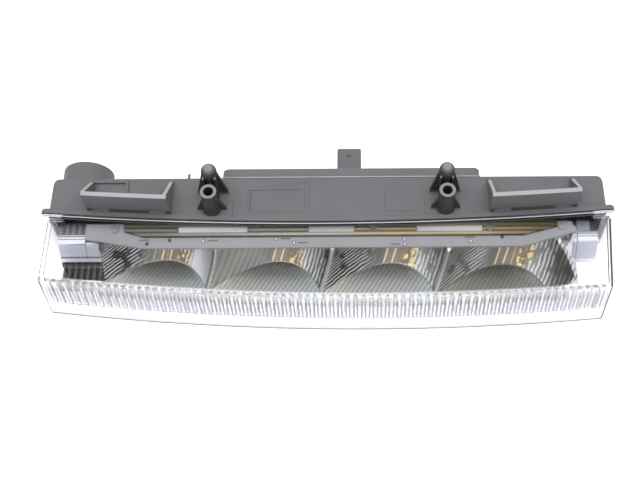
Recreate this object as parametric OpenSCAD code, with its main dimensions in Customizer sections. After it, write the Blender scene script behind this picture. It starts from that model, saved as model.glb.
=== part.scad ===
// Daytime running light for a car bumper: a bowed clear lens in front of a grey moulded housing.
// The lens looks along -Y, the connector leaves along +Y and the lamp rests on its underside at z = 0.

/* [Lens] */
// How far the top of the lens lies below the top of its rim
lens_lip = 2; // [1:0.1:3]
// How far each side of the lens stands in from the end of its rim
lens_side_step = 4; // [3.9:0.1:6]
// Wall of the lens
lens_wall = 2.2; // [1.6:0.1:2.6]
// Radius of the bow of the lens front, seen from above
lens_bow_r = 1389; // [1200:1:1800]
// Turn of the lens front about the vertical, in degrees
lens_turn = 1.06; // [0:0.02:1.4]
// Lean of the lens front, in degrees, with the foot further forward
lens_lean = 4.9; // [0:0.1:6]
// Draft of each side wall of the lens, in degrees
lens_draft = 1.5; // [0:0.1:2]
// Sideways slant of both side walls of the lens, in degrees
lens_slant = 3; // [0:0.1:4]
// Pitch of the upright flutes inside the lens front
flute_pitch = 4.2; // [3.6:0.1:5]
// Radius of one flute
flute_r = 2.9; // [2.7:0.1:4]
// How far a flute stands out of the wall
flute_rise = 1; // [0.6:0.05:1.2]
// Height above the floor at which the flutes end
flute_foot = 10; // [6:0.5:14]

/* [Rim] */
// Distance from the lens front to the housing flange, on the middle line
rim_front = 44.9; // [40:0.1:48]
// Radius of the bow of the flange, seen from above
rim_bow_r = 1875; // [1600:1:2400]
// Width over the flange
flange_w = 311.6; // [308:0.2:320]
// Height over the flange
flange_h = 35; // [34.5:0.1:38]
// Thickness of the housing flange
flange_t = 2.6; // [2:0.1:3.4]
// Thickness of the lens rim
lens_rim_t = 1.6; // [1.2:0.1:2.2]
// Thickness of the seal between lens and flange
seal_t = 0.8; // [0.5:0.1:1.2]
// How far the seal lies back from the edge of the flange
seal_set_back = 1.2; // [0.8:0.1:1.6]

/* [Housing] */
// How far each side of the housing stands in from the end of the flange
housing_side_step = 3.8; // [3:0.1:3.8]
// How far the top of the housing lies below the top of the flange
housing_lip = 1.6; // [1:0.1:2.2]
// Depth of the housing behind the front of the flange
housing_depth = 28.6; // [26:0.1:34]
// Wall of the housing
housing_wall = 2.2; // [1.8:0.1:2.6]
// Draft of each side of the housing, in mm from front to back
housing_draft = 1.1; // [0:0.1:2]
// Chamfer round the top edge of the housing
housing_edge = 0.9; // [0.4:0.1:1.4]

/* [Towers] */
// Distance between the two screw towers
tower_pitch = 126.4; // [110:0.2:132]
// Sideways offset of the pair of towers
tower_shift = 0.5; // [-4:0.1:4]
// Distance of a tower axis behind the front of the flange at that place
tower_back = 7.1; // [6.8:0.1:8]
// Height of a tower above the housing
tower_rise = 19.6; // [18:0.2:26]
// Outer radius of a tower
tower_r = 4.35; // [4:0.05:4.8]
// Radius of the screw bore in a tower
tower_bore_r = 2.7; // [2:0.05:3]
// Depth of the screw bore
tower_bore_depth = 16; // [10:0.5:18]
// Distance from a tower axis to the axis of the post behind it
post_back = 10.9; // [10:0.1:12]
// Height of the post above the housing
post_rise = 25.6; // [22:0.2:30]
// Radius of the head of the post
post_r = 4.2; // [3.6:0.1:4.6]
// Reach of the ribs at the foot of tower and post
rib_reach = 8.8; // [7:0.1:10]
// Thickness of these ribs
rib_t = 1.5; // [1:0.1:2]
// Rise of the pad under each tower
pad_rise = 0.8; // [0.4:0.1:1.2]
// Half width of the pad under each tower
pad_half = 11; // [10:0.5:12]

/* [Brackets] */
// Width over the left bracket
bracket_left_w = 45.1; // [38:0.1:48]
// Distance of the left bracket from the left end of the flange
bracket_left_in = 25.9; // [22:0.1:30]
// Width over the right bracket
bracket_right_w = 47.4; // [38:0.1:48]
// Distance of the right bracket from the right end of the flange
bracket_right_in = 21; // [18:0.1:24]
// Height of the brackets above the housing
bracket_rise = 19.6; // [14:0.2:24]
// Thickness of the front plate of a bracket
bracket_t = 1.8; // [1.4:0.1:2.4]
// Thickness of a side gusset of a bracket
gusset_t = 1.9; // [1.4:0.1:2.4]
// Depth of the raised band along the top of the front plate
band_h = 10; // [8:0.5:12]
// How far the band stands forward of the plate
band_rise = 0.7; // [0.4:0.1:0.9]
// Width of each slot at the foot of the front plate
slot_w = 9.5; // [6:0.5:11]
// Height of these slots
slot_h = 3.2; // [2:0.1:5]
// Distance of a slot from the end of its bracket
slot_inset = 2.4; // [2:0.1:4]

/* [Collar] */
// Distance of the collar axis from the left end of the flange
collar_in = 19.5; // [18.5:0.1:26]
// How far the collar stays inside the top and the bottom of the housing
collar_margin = 2.7; // [2:0.1:5]
// Wall of the collar
collar_wall = 2; // [1.6:0.1:3]
// Length of the collar behind the housing
collar_len = 12.5; // [8:0.5:18]
// Radius of the vent hole in the collar floor
vent_r = 3; // [2:0.1:4]

/* [Rear cover] */
// Width of the rear cover
cover_w = 142.7; // [134:0.1:150]
// Place of the middle of the rear cover along the lamp
cover_x = 12.6; // [8:0.1:16]
// How far the rear cover stays inside the top and the bottom of the housing
cover_margin = 2.2; // [1.2:0.1:2.6]
// Depth of the rear cover behind its seal
cover_depth = 5.8; // [5:0.1:8]
// Wall of the rear cover
cover_wall = 2; // [1.6:0.1:2.4]
// Thickness of the seal of the rear cover
cover_seal_t = 0.8; // [0.5:0.1:1.2]
// Width of the lip on which the rear cover seals
cover_lip = 9; // [8.5:0.1:10]
// Radius of the hole for a cover screw
cover_screw_r = 1.5; // [1.2:0.1:1.7]

/* [Connector] */
// Place of the connector along the lamp
plug_x = 11.4; // [6:0.1:18]
// Width of the connector socket
plug_w = 13.5; // [12:0.1:16]
// Height of the connector socket
plug_h = 12.5; // [11:0.1:14]
// Length of the connector socket behind the cover
plug_len = 17; // [14:0.5:22]
// Wall of the connector socket
plug_wall = 1.5; // [1.2:0.1:2]
// How far the connector axis lies above the middle of the housing
plug_rise = 1.9; // [0:0.1:3]
// Number of contact pins
pin_count = 3; // [2:1:3]
// Width of one square contact pin
pin_w = 1; // [0.8:0.1:1.2]
// Pitch of the contact pins
pin_pitch = 2.8; // [2.5:0.1:3]

/* [Reflector] */
// Number of bowls in the reflector
bowl_count = 4; // [4:1:4]
// Distance from the last bowl's deepest point to the right end of the reflector
bowl_end = 20; // [18:0.1:22]
// How far each bowl stands in front of its left neighbour
bowl_step = 1.4; // [0:0.1:2]
// Focal length of a bowl
bowl_focus = 10; // [9:0.1:11]
// Direction of the bowls, in degrees to the left of straight ahead
bowl_aim = 23.5; // [20:0.5:26]
// Distance from the left end of the reflector to the first bowl's deepest point
bowl_start = 48.3; // [46:0.1:50]
// Distance of the first bowl's deepest point behind the front of the flange
bowl_back = 6.4; // [5:0.1:7]
// Height of the axis of the bowls above the reflector
bowl_axis_rise = 2.9; // [2:0.1:4]
// Wall of the reflector
bowl_wall = 1.6; // [1.2:0.1:2]
// Distance from the left end of the flange to the reflector
reflector_left_in = 31.8; // [30:0.1:33]
// Distance from the right end of the flange to the reflector
reflector_right_in = 22.8; // [21.5:0.1:24]
// Distance of the reflector's front edge behind the lens front
reflector_front = 11; // [8:0.5:14]
// Room between the reflector and the top of the lens, for the light board and what lies on it
board_room = 4.4; // [4.3:0.1:5.5]
// Thickness of the reflector floor
reflector_floor = 1.1; // [0.8:0.1:1.4]

/* [Boards] */
// Thickness of the light board
board_t = 1.4; // [1:0.1:1.6]
// Depth of the light board from front to back
board_depth = 14.9; // [14:0.1:16]
// How far the rear edge of the light board lies behind the front of the flange
board_set_back = 2.6; // [2:0.1:3.6]
// Distance from the left end of the flange to the light board
board_left_in = 24.3; // [23.8:0.1:25]
// Distance from the right end of the flange to the light board
board_right_in = 20.7; // [20.2:0.1:21.2]
// Thickness of the thermal pad
thermal_pad_t = 0.3; // [0.2:0.05:0.4]
// Thickness of the heat sink
sink_t = 1.5; // [1:0.1:1.5]
// How far the heat sink lies back from the front edge of the light board
sink_set_back = 6.3; // [5:0.1:7]
// Distance from the left end of the light board to the heat sink
sink_left_in = 21; // [19:0.1:24]
// Distance from the right end of the light board to the heat sink
sink_right_in = 10.8; // [9:0.1:13]
// Depth of the windows in the heat sink
window_depth = 4.4; // [3:0.1:4.8]
// Side of a square light source
led_w = 3.5; // [2.8:0.1:4]
// Thickness of a light source
led_t = 0.9; // [0.6:0.1:1.2]
// How far the driver board stays inside each end of the rear cover
driver_end_gap = 13.35; // [12.5:0.05:16]
// How far the driver board stays inside the top and the bottom of the rear cover
driver_side_gap = 5.5; // [5:0.1:6.5]
// Thickness of the driver board
driver_t = 1.6; // [1:0.1:2]
// Distance from the driver board to the inside of the rear cover
driver_gap = 9; // [8:0.1:11]

/* [Fit] */
// Clearance between pieces that slide together
fit_gap = 0.2; // [0.1:0.05:0.3]

/* [Hidden] */

// The long bows are drawn as this many short flat runs
bow_steps = 48;
round_fn = 48;
lens_h = flange_h - lens_lip;
lens_w = flange_w - 2 * lens_side_step;
housing_w = flange_w - 2 * housing_side_step;
housing_h = flange_h - housing_lip;
housing_back = rim_front + housing_depth;
tower_top = housing_h + tower_rise;
post_top = housing_h + post_rise;
bracket_top = housing_h + bracket_rise;
bracket_left_x = bracket_left_in + bracket_left_w / 2 - flange_w / 2;
bracket_right_x = flange_w / 2 - bracket_right_in - bracket_right_w / 2;
collar_x = collar_in - flange_w / 2;
collar_z = housing_h / 2;
collar_r = housing_h / 2 - collar_margin;
cover_h = housing_h - 2 * cover_margin;
plug_z = housing_h / 2 + plug_rise;
reflector_left = reflector_left_in - flange_w / 2;
reflector_right = flange_w / 2 - reflector_right_in;
reflector_top = lens_h - lens_wall - board_room;
reflector_base = housing_wall + fit_gap;
bowl_pitch = (reflector_right - reflector_left - bowl_start - bowl_end) / (bowl_count - 1);
bowl_first_x = reflector_left + bowl_start;
bowl_first_y = rim_front + bowl_back;
bowl_axis_z = reflector_top + bowl_axis_rise;
board_back = rim_front + board_set_back;
board_front = board_back - board_depth;
board_left = board_left_in - flange_w / 2;
board_right = flange_w / 2 - board_right_in;
sink_front = board_front + sink_set_back;
sink_left = board_left + sink_left_in;
sink_right = board_right - sink_right_in;
driver_w = cover_w - 2 * driver_end_gap;
driver_h = cover_h - 2 * driver_side_gap;
// The whole lamp is centred front to back on its own box
lean_reach = lens_h * tan(lens_lean);
cover_back = housing_back + cover_seal_t + cover_depth;
plug_back = cover_back + plug_len;
centre_y = (plug_back - lean_reach) / 2;
corner_r = 4;
back_corner_r = 4.5;

function rim_y(x) = rim_front + rim_bow_r - sqrt(rim_bow_r * rim_bow_r - x * x);
function vertex_x(i) = bowl_first_x + i * bowl_pitch;
function vertex_y(i) = bowl_first_y - i * bowl_step;
function focus_x(i) = vertex_x(i) - bowl_focus * sin(bowl_aim);
function focus_y(i) = vertex_y(i) - bowl_focus * cos(bowl_aim);
function arc_points(c, r, from, to, steps) =
    [for (i = [0:steps]) let (a = from + (to - from) * i / steps) c + r * [cos(a), sin(a)]];

module lamp_frame() {
    translate([0, -centre_y, 0]) children();
}

// Points on the bowed line that lies `back` behind the front of the flange
function rim_points(x0, x1, back, steps) =
    [for (i = [0:steps]) let (x = x0 + (x1 - x0) * i / steps) [x, rim_y(x) + back]];

// Everything behind that line
module behind_rim(back) {
    half = flange_w / 2 + 8;
    polygon(concat(rim_points(-half, half, back, bow_steps), [[half, plug_back], [-half, plug_back]]));
}

// The bowed strip between two such lines, from x0 to x1
module rim_strip(from, to, x0, x1) {
    intersection() {
        difference() {
            behind_rim(from);
            behind_rim(to);
        }
        translate([x0, 0]) square([x1 - x0, housing_back]);
    }
}

// A block along Y whose front view is a rectangle with round corners
module front_block(x0, x1, z0, z1, r, y0, y1) {
    translate([0, y1, 0]) rotate([90, 0, 0]) linear_extrude(y1 - y0) {
        translate([x0 + r, z0]) square([x1 - x0 - 2 * r, z1 - z0]);
        translate([x0, z0 + r]) square([x1 - x0, z1 - z0 - 2 * r]);
        for (x = [x0 + r, x1 - r], z = [z0 + r, z1 - r]) translate([x, z]) circle(r = r, $fn = round_fn);
    }
}

module box_at(x0, x1, y0, y1, z0, z1) {
    translate([x0, y0, z0]) cube([x1 - x0, y1 - y0, z1 - z0]);
}

// A rod along Y
module y_rod(x, z, y0, y1, r) {
    translate([x, y0, z]) rotate([-90, 0, 0]) cylinder(r = r, h = y1 - y0, $fn = round_fn);
}

/* Housing */

side_front = housing_w / 2;
side_back = housing_w / 2 - housing_draft;

module housing_plan() {
    r = back_corner_r;
    intersection() {
        behind_rim(flange_t / 2);
        union() {
            polygon([[-side_front, 0], [side_front, 0], [side_back, housing_back - r], [side_back - r, housing_back],
                     [r - side_back, housing_back], [-side_back, housing_back - r]]);
            for (s = [-1, 1]) translate([s * (side_back - r), housing_back - r]) circle(r = r, $fn = round_fn);
        }
    }
}

// The plan, with the top edge chamfered along the back and along both sides
module housing_shell() {
    e = housing_edge;
    intersection() {
        linear_extrude(housing_h) housing_plan();
        translate([-side_front, 0, 0]) rotate([90, 0, 90]) linear_extrude(2 * side_front)
            polygon([[0, 0], [housing_back, 0], [housing_back, housing_h - e], [housing_back - e, housing_h],
                     [0, housing_h]]);
        translate([0, housing_back, 0]) rotate([90, 0, 0]) linear_extrude(housing_back)
            polygon([[-side_front, 0], [side_front, 0], [side_front, housing_h - e], [side_back - e, housing_h],
                     [e - side_back, housing_h], [-side_front, housing_h - e]]);
    }
    intersection() {
        linear_extrude(flange_h) rim_strip(0, flange_t, -flange_w / 2, flange_w / 2);
        front_block(-flange_w / 2, flange_w / 2, 0, flange_h, corner_r, 0, housing_back);
    }
}

module housing_cavity() {
    half_front = side_front - housing_wall;
    half_back = side_back - housing_wall;
    y1 = housing_back - housing_wall;
    translate([0, 0, housing_wall]) linear_extrude(housing_h - 2 * housing_wall)
        polygon([[-half_front, 0], [half_front, 0], [half_front, rim_y(half_front)],
                 [half_back, y1 - 2], [half_back - 2, y1], [2 - half_back, y1], [-half_back, y1 - 2],
                 [-half_front, rim_y(half_front)]]);
}

function tower_x(side) = tower_shift + side * tower_pitch / 2;
function tower_y(side) = rim_y(tower_x(side)) + tower_back;

// A rib across the lamp that widens from `top_half` to its full reach at the foot
module cross_rib(top_half, top_z) {
    rotate([90, 0, 0]) linear_extrude(rib_t, center = true)
        polygon([[-rib_reach, 0], [rib_reach, 0], [top_half, top_z], [-top_half, top_z]]);
}

module screw_tower(side) {
    base = housing_h - housing_edge;
    rise = tower_top - base;
    post_h = post_top - base;
    translate([tower_x(side), tower_y(side), base]) {
        cylinder(r = tower_r, h = rise, $fn = round_fn);
        cylinder(r1 = tower_r + 1.2, r2 = tower_r, h = rise / 3, $fn = round_fn);
        cross_rib(tower_r, rise * 0.6);
        translate([-rib_t / 2, 0, 0]) rotate([90, 0, 90]) linear_extrude(rib_t)
            polygon([[0, 0], [0, rise * 0.55], [-tower_r, rise * 0.55], [-tower_r - 0.4, 0]]);
        translate([0, post_back, 0]) {
            cylinder(r1 = post_r * 0.95, r2 = post_r * 0.8, h = post_h - post_r, $fn = round_fn);
            translate([0, 0, post_h - post_r - 1.6]) cylinder(r = post_r, h = 2.2, $fn = round_fn);
            translate([0, 0, post_h - post_r + 0.6]) intersection() {
                sphere(r = post_r, $fn = round_fn);
                cylinder(r = post_r, h = post_r - 0.6, $fn = round_fn);
            }
            cross_rib(post_r, post_h - post_r - 1);
            for (x = [-post_r * 0.75, 0, post_r * 0.75]) translate([x - 0.45, 0, 0]) rotate([90, 0, 90])
                linear_extrude(0.9)
                    polygon([[0, 0], [0, post_h - post_r - 1], [-post_r, post_h - post_r - 1],
                             [-post_r - 1.2, 0]]);
            translate([-rib_t / 2, 0, 0]) rotate([90, 0, 90]) linear_extrude(rib_t)
                polygon([[0, 0], [post_r + 1.5, 0], [post_r, post_h * 0.5], [0, post_h * 0.5]]);
        }
    }
}

module tower_pad(side) {
    x = tower_x(side);
    y0 = rim_y(x) + flange_t / 2;
    y1 = tower_y(side) + post_back - 2;
    r = 2.5;
    translate([0, 0, housing_h - housing_edge]) linear_extrude(housing_edge + pad_rise) {
        translate([x - pad_half, y0]) square([2 * pad_half, y1 - r - y0]);
        translate([x - pad_half + r, y0]) square([2 * (pad_half - r), y1 - y0]);
        for (s = [-1, 1]) translate([x + s * (pad_half - r), y1 - r]) circle(r = r, $fn = round_fn);
    }
}

module tower_bore(side) {
    translate([tower_x(side), tower_y(side), tower_top - tower_bore_depth])
        cylinder(r = tower_bore_r, h = tower_bore_depth + 1, $fn = round_fn);
}

function plate_y(x) = rim_y(x) + flange_t;

module front_plate(x0, x1, from, to, z0, z1) {
    translate([0, 0, z0]) linear_extrude(z1 - z0)
        polygon(concat(rim_points(x0, x1, flange_t + from, 8), rim_points(x1, x0, flange_t + to, 8)));
}

// The side of a bracket: as high as the plate in front, down to the housing top at its back
module gusset(x) {
    base = housing_h - housing_edge;
    back = housing_back - back_corner_r / 2;
    front = plate_y(x) + bracket_t / 2;
    translate([x, 0, 0]) rotate([90, 0, 90]) linear_extrude(gusset_t)
        polygon([[front, base], [front, bracket_top], [front + bracket_t / 2, bracket_top],
                 [back, housing_h + 0.8], [back, base]]);
}

module bracket(mid, w) {
    x0 = mid - w / 2;
    x1 = mid + w / 2;
    difference() {
        union() {
            front_plate(x0, x1, -flange_t / 3, bracket_t, housing_h - housing_edge, flange_h);
            front_plate(x0, x1, 0, bracket_t, flange_h - 0.5, bracket_top);
            front_plate(x0, x1, -band_rise, bracket_t / 2, bracket_top - band_h, bracket_top);
            gusset(x0);
            gusset(x1 - gusset_t);
        }
        for (x = [x0 + slot_inset, x1 - slot_inset - slot_w])
            box_at(x, x + slot_w, plate_y(x) - 2, plate_y(x) + bracket_t + 2,
                   flange_h + 0.3, flange_h + 0.3 + slot_h);
    }
}

// A low wall that parts off the left third of the left bracket's floor
module bracket_divider() {
    x0 = bracket_left_x - bracket_left_w / 2;
    x = x0 + bracket_left_w * 0.42;
    back = housing_back - back_corner_r / 2;
    z0 = housing_h - housing_edge;
    box_at(x, x + 1.6, plate_y(x) + 1, back - 1.6, z0, housing_h + 1.4);
    box_at(x0 + 1, x + 1.6, back - 1.6, back, z0, housing_h + 1.4);
}

boss_r = 3.6;
boss_hole_r = 1.4;
boss_hole_depth = 8;
ear_t = 2;
ear_z = (reflector_base + reflector_top) / 2 - 0.4;
ear_left_x = reflector_left + 7;
ear_right_x = reflector_right - 3.5;
ear_left_y = bowl_first_y - 2.3;
ear_right_y = vertex_y(bowl_count - 1) - 4.2;
screw_play = 0.1;

module reflector_boss(x, y) {
    y_rod(x, ear_z, y + ear_t, housing_back - housing_wall + 0.5, boss_r);
}

cover_x0 = cover_x - cover_w / 2;
cover_x1 = cover_x + cover_w / 2;
cover_z0 = (housing_h - cover_h) / 2;
cover_z1 = cover_z0 + cover_h;
cover_screw_in = cover_lip / 2;
cover_screw_x = [cover_x0 + cover_screw_in, cover_x1 - cover_screw_in];
cover_screw_z = [cover_z0 + cover_screw_in + 1, cover_z1 - cover_screw_in - 1];
cover_boss_len = 8;
recess_start = 18.7;
recess_w = 29.2;
recess_back = 8.2;
recess_d = 13;

module housing() {
    color("#7f7f82") lamp_frame() difference() {
        union() {
            difference() {
                union() {
                    housing_shell();
                    y_rod(collar_x, collar_z, housing_back - 1, housing_back + collar_len, collar_r);
                }
                housing_cavity();
                y_rod(collar_x, collar_z, housing_back, housing_back + collar_len + 1, collar_r - collar_wall);
                y_rod(collar_x, collar_z, housing_back - 5, housing_back + 1, vent_r);
                box_at(cover_x0 + cover_lip, cover_x1 - cover_lip, housing_back - 5, housing_back + 1,
                       cover_z0 + cover_wall + 2, cover_z1 - cover_wall - 2);
            }
            for (side = [-1, 1]) {
                screw_tower(side);
                tower_pad(side);
            }
            bracket(bracket_left_x, bracket_left_w);
            bracket(bracket_right_x, bracket_right_w);
            bracket_divider();
            reflector_boss(ear_left_x, ear_left_y);
            reflector_boss(ear_right_x, ear_right_y);
            for (x = cover_screw_x, z = cover_screw_z)
                y_rod(x, z, housing_back - housing_wall - cover_boss_len, housing_back - 1, 3);
            y_rod(tower_x(-1) - 14.3, housing_h - 2, housing_back - 1, housing_back + 3.2, 0.7);
        }
        for (side = [-1, 1]) tower_bore(side);
        y_rod(ear_left_x, ear_z, ear_left_y, ear_left_y + ear_t + boss_hole_depth, boss_hole_r);
        y_rod(ear_right_x, ear_z, ear_right_y, ear_right_y + ear_t + boss_hole_depth, boss_hole_r);
        for (x = cover_screw_x, z = cover_screw_z)
            y_rod(x, z, housing_back - housing_wall - cover_boss_len + 1, housing_back + 1, cover_screw_r - 0.3);
        box_at(tower_x(-1) + recess_start, tower_x(-1) + recess_start + recess_w, housing_back - recess_back - recess_d,
               housing_back - recess_back, housing_h - 0.35, housing_h + 1);
    }
}

/* Lens */

slant = tan(lens_slant);
draft = tan(lens_draft);
lens_mid = 0.6;
lens_far = 30;

module lens_sides(inset, y_end) {
    y0 = rim_front;
    run = y0 + lens_far;
    left = lens_mid - lens_w / 2 + inset;
    right = lens_mid + lens_w / 2 - inset;
    extra = y_end - y0;
    polygon([[left - extra * (draft - slant), y_end],
             [left + run * (draft - slant), -lens_far],
             [right - run * (draft + slant), -lens_far],
             [right + extra * (draft + slant), y_end]]);
}

bow_half = asin((lens_w / 2 + 12) / lens_bow_r);

function bow_points(inset, from, to) = arc_points([0, lens_bow_r], lens_bow_r - inset, from - 90, to - 90, bow_steps);

// Everything behind the bowed line that lies `inset` behind the lens front
module behind_bow(inset) {
    side = lens_bow_r * sin(bow_half);
    rotate(-lens_turn)
        polygon(concat(bow_points(inset, -bow_half, bow_half), [[side, plug_back], [-side, plug_back]]));
}

// Extrudes an outline from the given height up, leaning back as the lens front does
module leaning(z0, z1) {
    translate([0, 0, lens_h]) rotate([-lens_lean, 0, 0]) translate([0, 0, z0 - lens_h])
        linear_extrude(z1 - z0) children();
}

flute_count = floor(lens_w / flute_pitch) + 2;
flute_steps = 6;
flute_half = asin(flute_pitch / 2 / flute_r);

function flute_point(i, turn) =
    let (a = (i - (flute_count - 1) / 2) * flute_pitch / lens_bow_r * 180 / PI,
         reach = lens_bow_r - lens_wall - flute_rise + flute_r)
    [reach * sin(a) - flute_r * sin(a + turn), lens_bow_r - reach * cos(a) + flute_r * cos(a + turn)];

// The ribbed band behind the front wall: rounds towards the rear, and half of the wall in front
module flutes() {
    rounds = [for (i = [0:flute_count - 1], k = [0:flute_steps - 1])
              flute_point(i, flute_half * (1 - 2 * k / flute_steps))];
    rotate(-lens_turn) polygon(concat(rounds, bow_points(lens_wall / 2, bow_half, -bow_half)));
}

module lens_body() {
    intersection() {
        linear_extrude(lens_h) difference() {
            lens_sides(0, housing_back);
            behind_rim(-seal_t - lens_rim_t / 2);
        }
        leaning(-20, lens_h + 20) behind_bow(0);
    }
    intersection() {
        linear_extrude(flange_h) rim_strip(-seal_t - lens_rim_t, -seal_t, -flange_w / 2, flange_w / 2);
        front_block(-flange_w / 2, flange_w / 2, 0, flange_h, corner_r, 0, housing_back);
    }
}

module lens_cover() {
    color("#e8eef2", 0.45) lamp_frame() {
        difference() {
            lens_body();
            intersection() {
                translate([0, 0, lens_wall]) linear_extrude(lens_h - 2 * lens_wall)
                    lens_sides(lens_wall, housing_back);
                leaning(-20, lens_h + 20) behind_bow(lens_wall);
            }
        }
        intersection() {
            leaning(flute_foot, lens_h + 20) flutes();
            linear_extrude(lens_h - lens_wall / 2) lens_sides(lens_wall / 2, rim_front);
        }
    }
}

module lens_seal() {
    half = flange_w / 2 - seal_set_back;
    color("#2b2b2e") lamp_frame() difference() {
        intersection() {
            linear_extrude(flange_h) rim_strip(-seal_t, 0, -half, half);
            front_block(-half, half, seal_set_back, flange_h - seal_set_back, corner_r - seal_set_back, 0, housing_back);
        }
        box_at(housing_wall - side_front, side_front - housing_wall, 0, housing_back,
               housing_wall, housing_h - housing_wall);
    }
}

/* Reflector */

bowl_depth = 62;
bowl_steps = 14;

module bowl_form(grow) {
    r_max = 2 * sqrt(bowl_focus * bowl_depth);
    curve = [for (i = [0:bowl_steps]) let (r = r_max * i / bowl_steps)
             [r + grow * 0.8 * min(1, i), r * r / (4 * bowl_focus) - grow]];
    rotate_extrude($fn = 96) polygon(concat(curve, [[0, bowl_depth - grow]]));
}

// The axis of a bowl lies level and points forward and to the left
module at_bowl(i) {
    translate([vertex_x(i), vertex_y(i), bowl_axis_z]) rotate([0, 0, -bowl_aim]) rotate([90, 0, 0]) children();
}

board_boss_h = 6.2;
board_boss_r = 3.2;
// Rear ribs and end bosses stand in by this much from the rear edge of the light board
rib_set_in = 3.4;
// Distance from a bowl's deepest point back to the boss on its left
cusp_gap = 25.5;

function board_screw_places() = concat(
    [[reflector_left + 8, board_back - rib_set_in]],
    [for (i = [0:bowl_count - 2]) [vertex_x(i) + bowl_pitch - cusp_gap, vertex_y(i) - 5.6]],
    [[reflector_right - 6, board_back - rib_set_in]]);

module reflector_blank() {
    for (i = [0:bowl_count - 1]) at_bowl(i) bowl_form(bowl_wall);
    box_at(reflector_left, vertex_x(0) - 12, ear_left_y, ear_left_y + ear_t, ear_z - 6, ear_z + 6);
    box_at(vertex_x(bowl_count - 1) - 5, reflector_right, ear_right_y, ear_right_y + ear_t, ear_z - 6, ear_z + 6);
    rib_z = reflector_top - board_boss_h;
    rib_y = board_back - rib_set_in;
    box_at(reflector_left, vertex_x(0) - 28, rib_y, rib_y + bowl_wall, rib_z, reflector_top);
    box_at(vertex_x(bowl_count - 1) + 1, reflector_right, rib_y, rib_y + bowl_wall, rib_z, reflector_top);
    for (p = board_screw_places()) translate([p[0], p[1], rib_z])
        cylinder(r = board_boss_r, h = board_boss_h, $fn = round_fn);
}

module reflector() {
    color("#c9cbcb") lamp_frame() difference() {
        intersection() {
            reflector_blank();
            translate([0, 0, reflector_base]) linear_extrude(reflector_top - reflector_base) intersection() {
                translate([0, reflector_front]) behind_bow(0);
                translate([reflector_left, 0]) square([reflector_right - reflector_left, housing_back]);
            }
        }
        intersection() {
            for (i = [0:bowl_count - 1]) at_bowl(i) bowl_form(0);
            box_at(-flange_w, flange_w, -lens_far, plug_back, reflector_base + reflector_floor, 2 * flange_h);
        }
        y_rod(ear_left_x, ear_z, ear_left_y - 1, ear_left_y + ear_t + 1, screw_clear_r);
        y_rod(ear_right_x, ear_z, ear_right_y - 1, ear_right_y + ear_t + 1, screw_clear_r);
        for (p = board_screw_places()) translate([p[0], p[1], reflector_top - board_boss_h + 0.8])
            cylinder(r = screw_r + screw_play, h = board_boss_h, $fn = round_fn);
    }
}

/* End trims */

trim_gap = 0.3;
trim_t = 1.4;
trim_depth = 12;

// A stepped trim between the reflector and the end of the lens: a plate on top, a slope and a low block in front
module end_trim(x0, x1, block_x0, block_x1, block_front) {
    front = trim_back - trim_depth;
    box_at(x0, x1, front, trim_back, reflector_top - trim_t, reflector_top);
    box_at(x0, x1, trim_back - trim_t, trim_back, reflector_base, reflector_top);
    box_at(x0, x1, front, front + trim_t, reflector_base, reflector_top);
    translate([x0, 0, 0]) rotate([90, 0, 90]) linear_extrude(x1 - x0)
        polygon([[front, reflector_base], [front, reflector_top - trim_t], [front - 6, trim_step_z],
                 [front - 6, reflector_base]]);
    box_at(block_x0, block_x1, block_front, front - 5.5, reflector_base, trim_step_z);
}

trim_back = board_back + 0.9;
trim_step_z = 12;
// Distance from the end of the lens to a trim, and from the lens front to the front of each trim's block
trim_end_gap = 5.4;
trim_front_left = 22;
trim_front_right = 18;

module end_trim_left() {
    x = reflector_left - trim_gap;
    color("#9a98a0") lamp_frame()
        end_trim(trim_end_gap - lens_w / 2, board_left - trim_gap, trim_end_gap + 1 - lens_w / 2, x, trim_front_left);
}

module end_trim_right() {
    color("#dfe3e2") lamp_frame()
        end_trim(board_right + trim_gap, lens_w / 2 - trim_end_gap, board_right + 1, lens_w / 2 - trim_end_gap - 4,
                 trim_front_right);
}

/* Light board */

board_z = reflector_top;
pad_z = board_z + board_t;
sink_z = pad_z + thermal_pad_t;
screw_r = 1.1;
screw_clear_r = 1.6;
screw_head_r = 2.2;
screw_head_h = 0.9;

module led_board() {
    color("#c6c8cc") lamp_frame() translate([0, 0, board_z]) linear_extrude(board_t) difference() {
        polygon([[board_left, board_back], [board_left, board_front + 5.9], [board_left + 31.8, board_front],
                 [board_right - 29.6, board_front], [board_right, board_front + 8.9],
                 [board_right - 2.6, board_back]]);
        for (p = board_screw_places()) translate(p) circle(r = screw_clear_r, $fn = round_fn);
    }
}

module led(i) {
    color("#e8c95a") lamp_frame() translate([focus_x(i), focus_y(i), board_z - led_t])
        rotate(-bowl_aim) {
            translate([-led_w / 2, -led_w / 2, led_t * 0.4]) cube([led_w, led_w, led_t * 0.6]);
            cylinder(r = led_w * 0.4, h = led_t * 0.6, $fn = round_fn);
        }
}

// Each window's start, counted from its own bowl's deepest point, and its end, counted back from the next one's
window_edges = [[-5.9, 30.7], [1.8, 35.6], [-2.4, 29]];
window_in = 2.2;

module sink_plan(margin) {
    difference() {
        polygon([[sink_left + margin, board_back - margin], [sink_left + margin, sink_front + 3.4 + margin],
                 [sink_left + 10.9, sink_front + margin], [sink_right - 18.3, sink_front + margin],
                 [sink_right - margin, sink_front + 5 + margin], [sink_right - margin, board_back - margin]]);
        for (i = [0:len(window_edges) - 1]) translate([vertex_x(i) + window_edges[i][0], sink_front + window_in])
            square([bowl_pitch - window_edges[i][1] - window_edges[i][0], window_depth]);
        for (p = board_screw_places()) translate(p) circle(r = screw_clear_r, $fn = round_fn);
    }
}

module thermal_pad() {
    color("#5b5d5c") lamp_frame() translate([0, 0, pad_z]) linear_extrude(thermal_pad_t) sink_plan(0.4);
}

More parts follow.
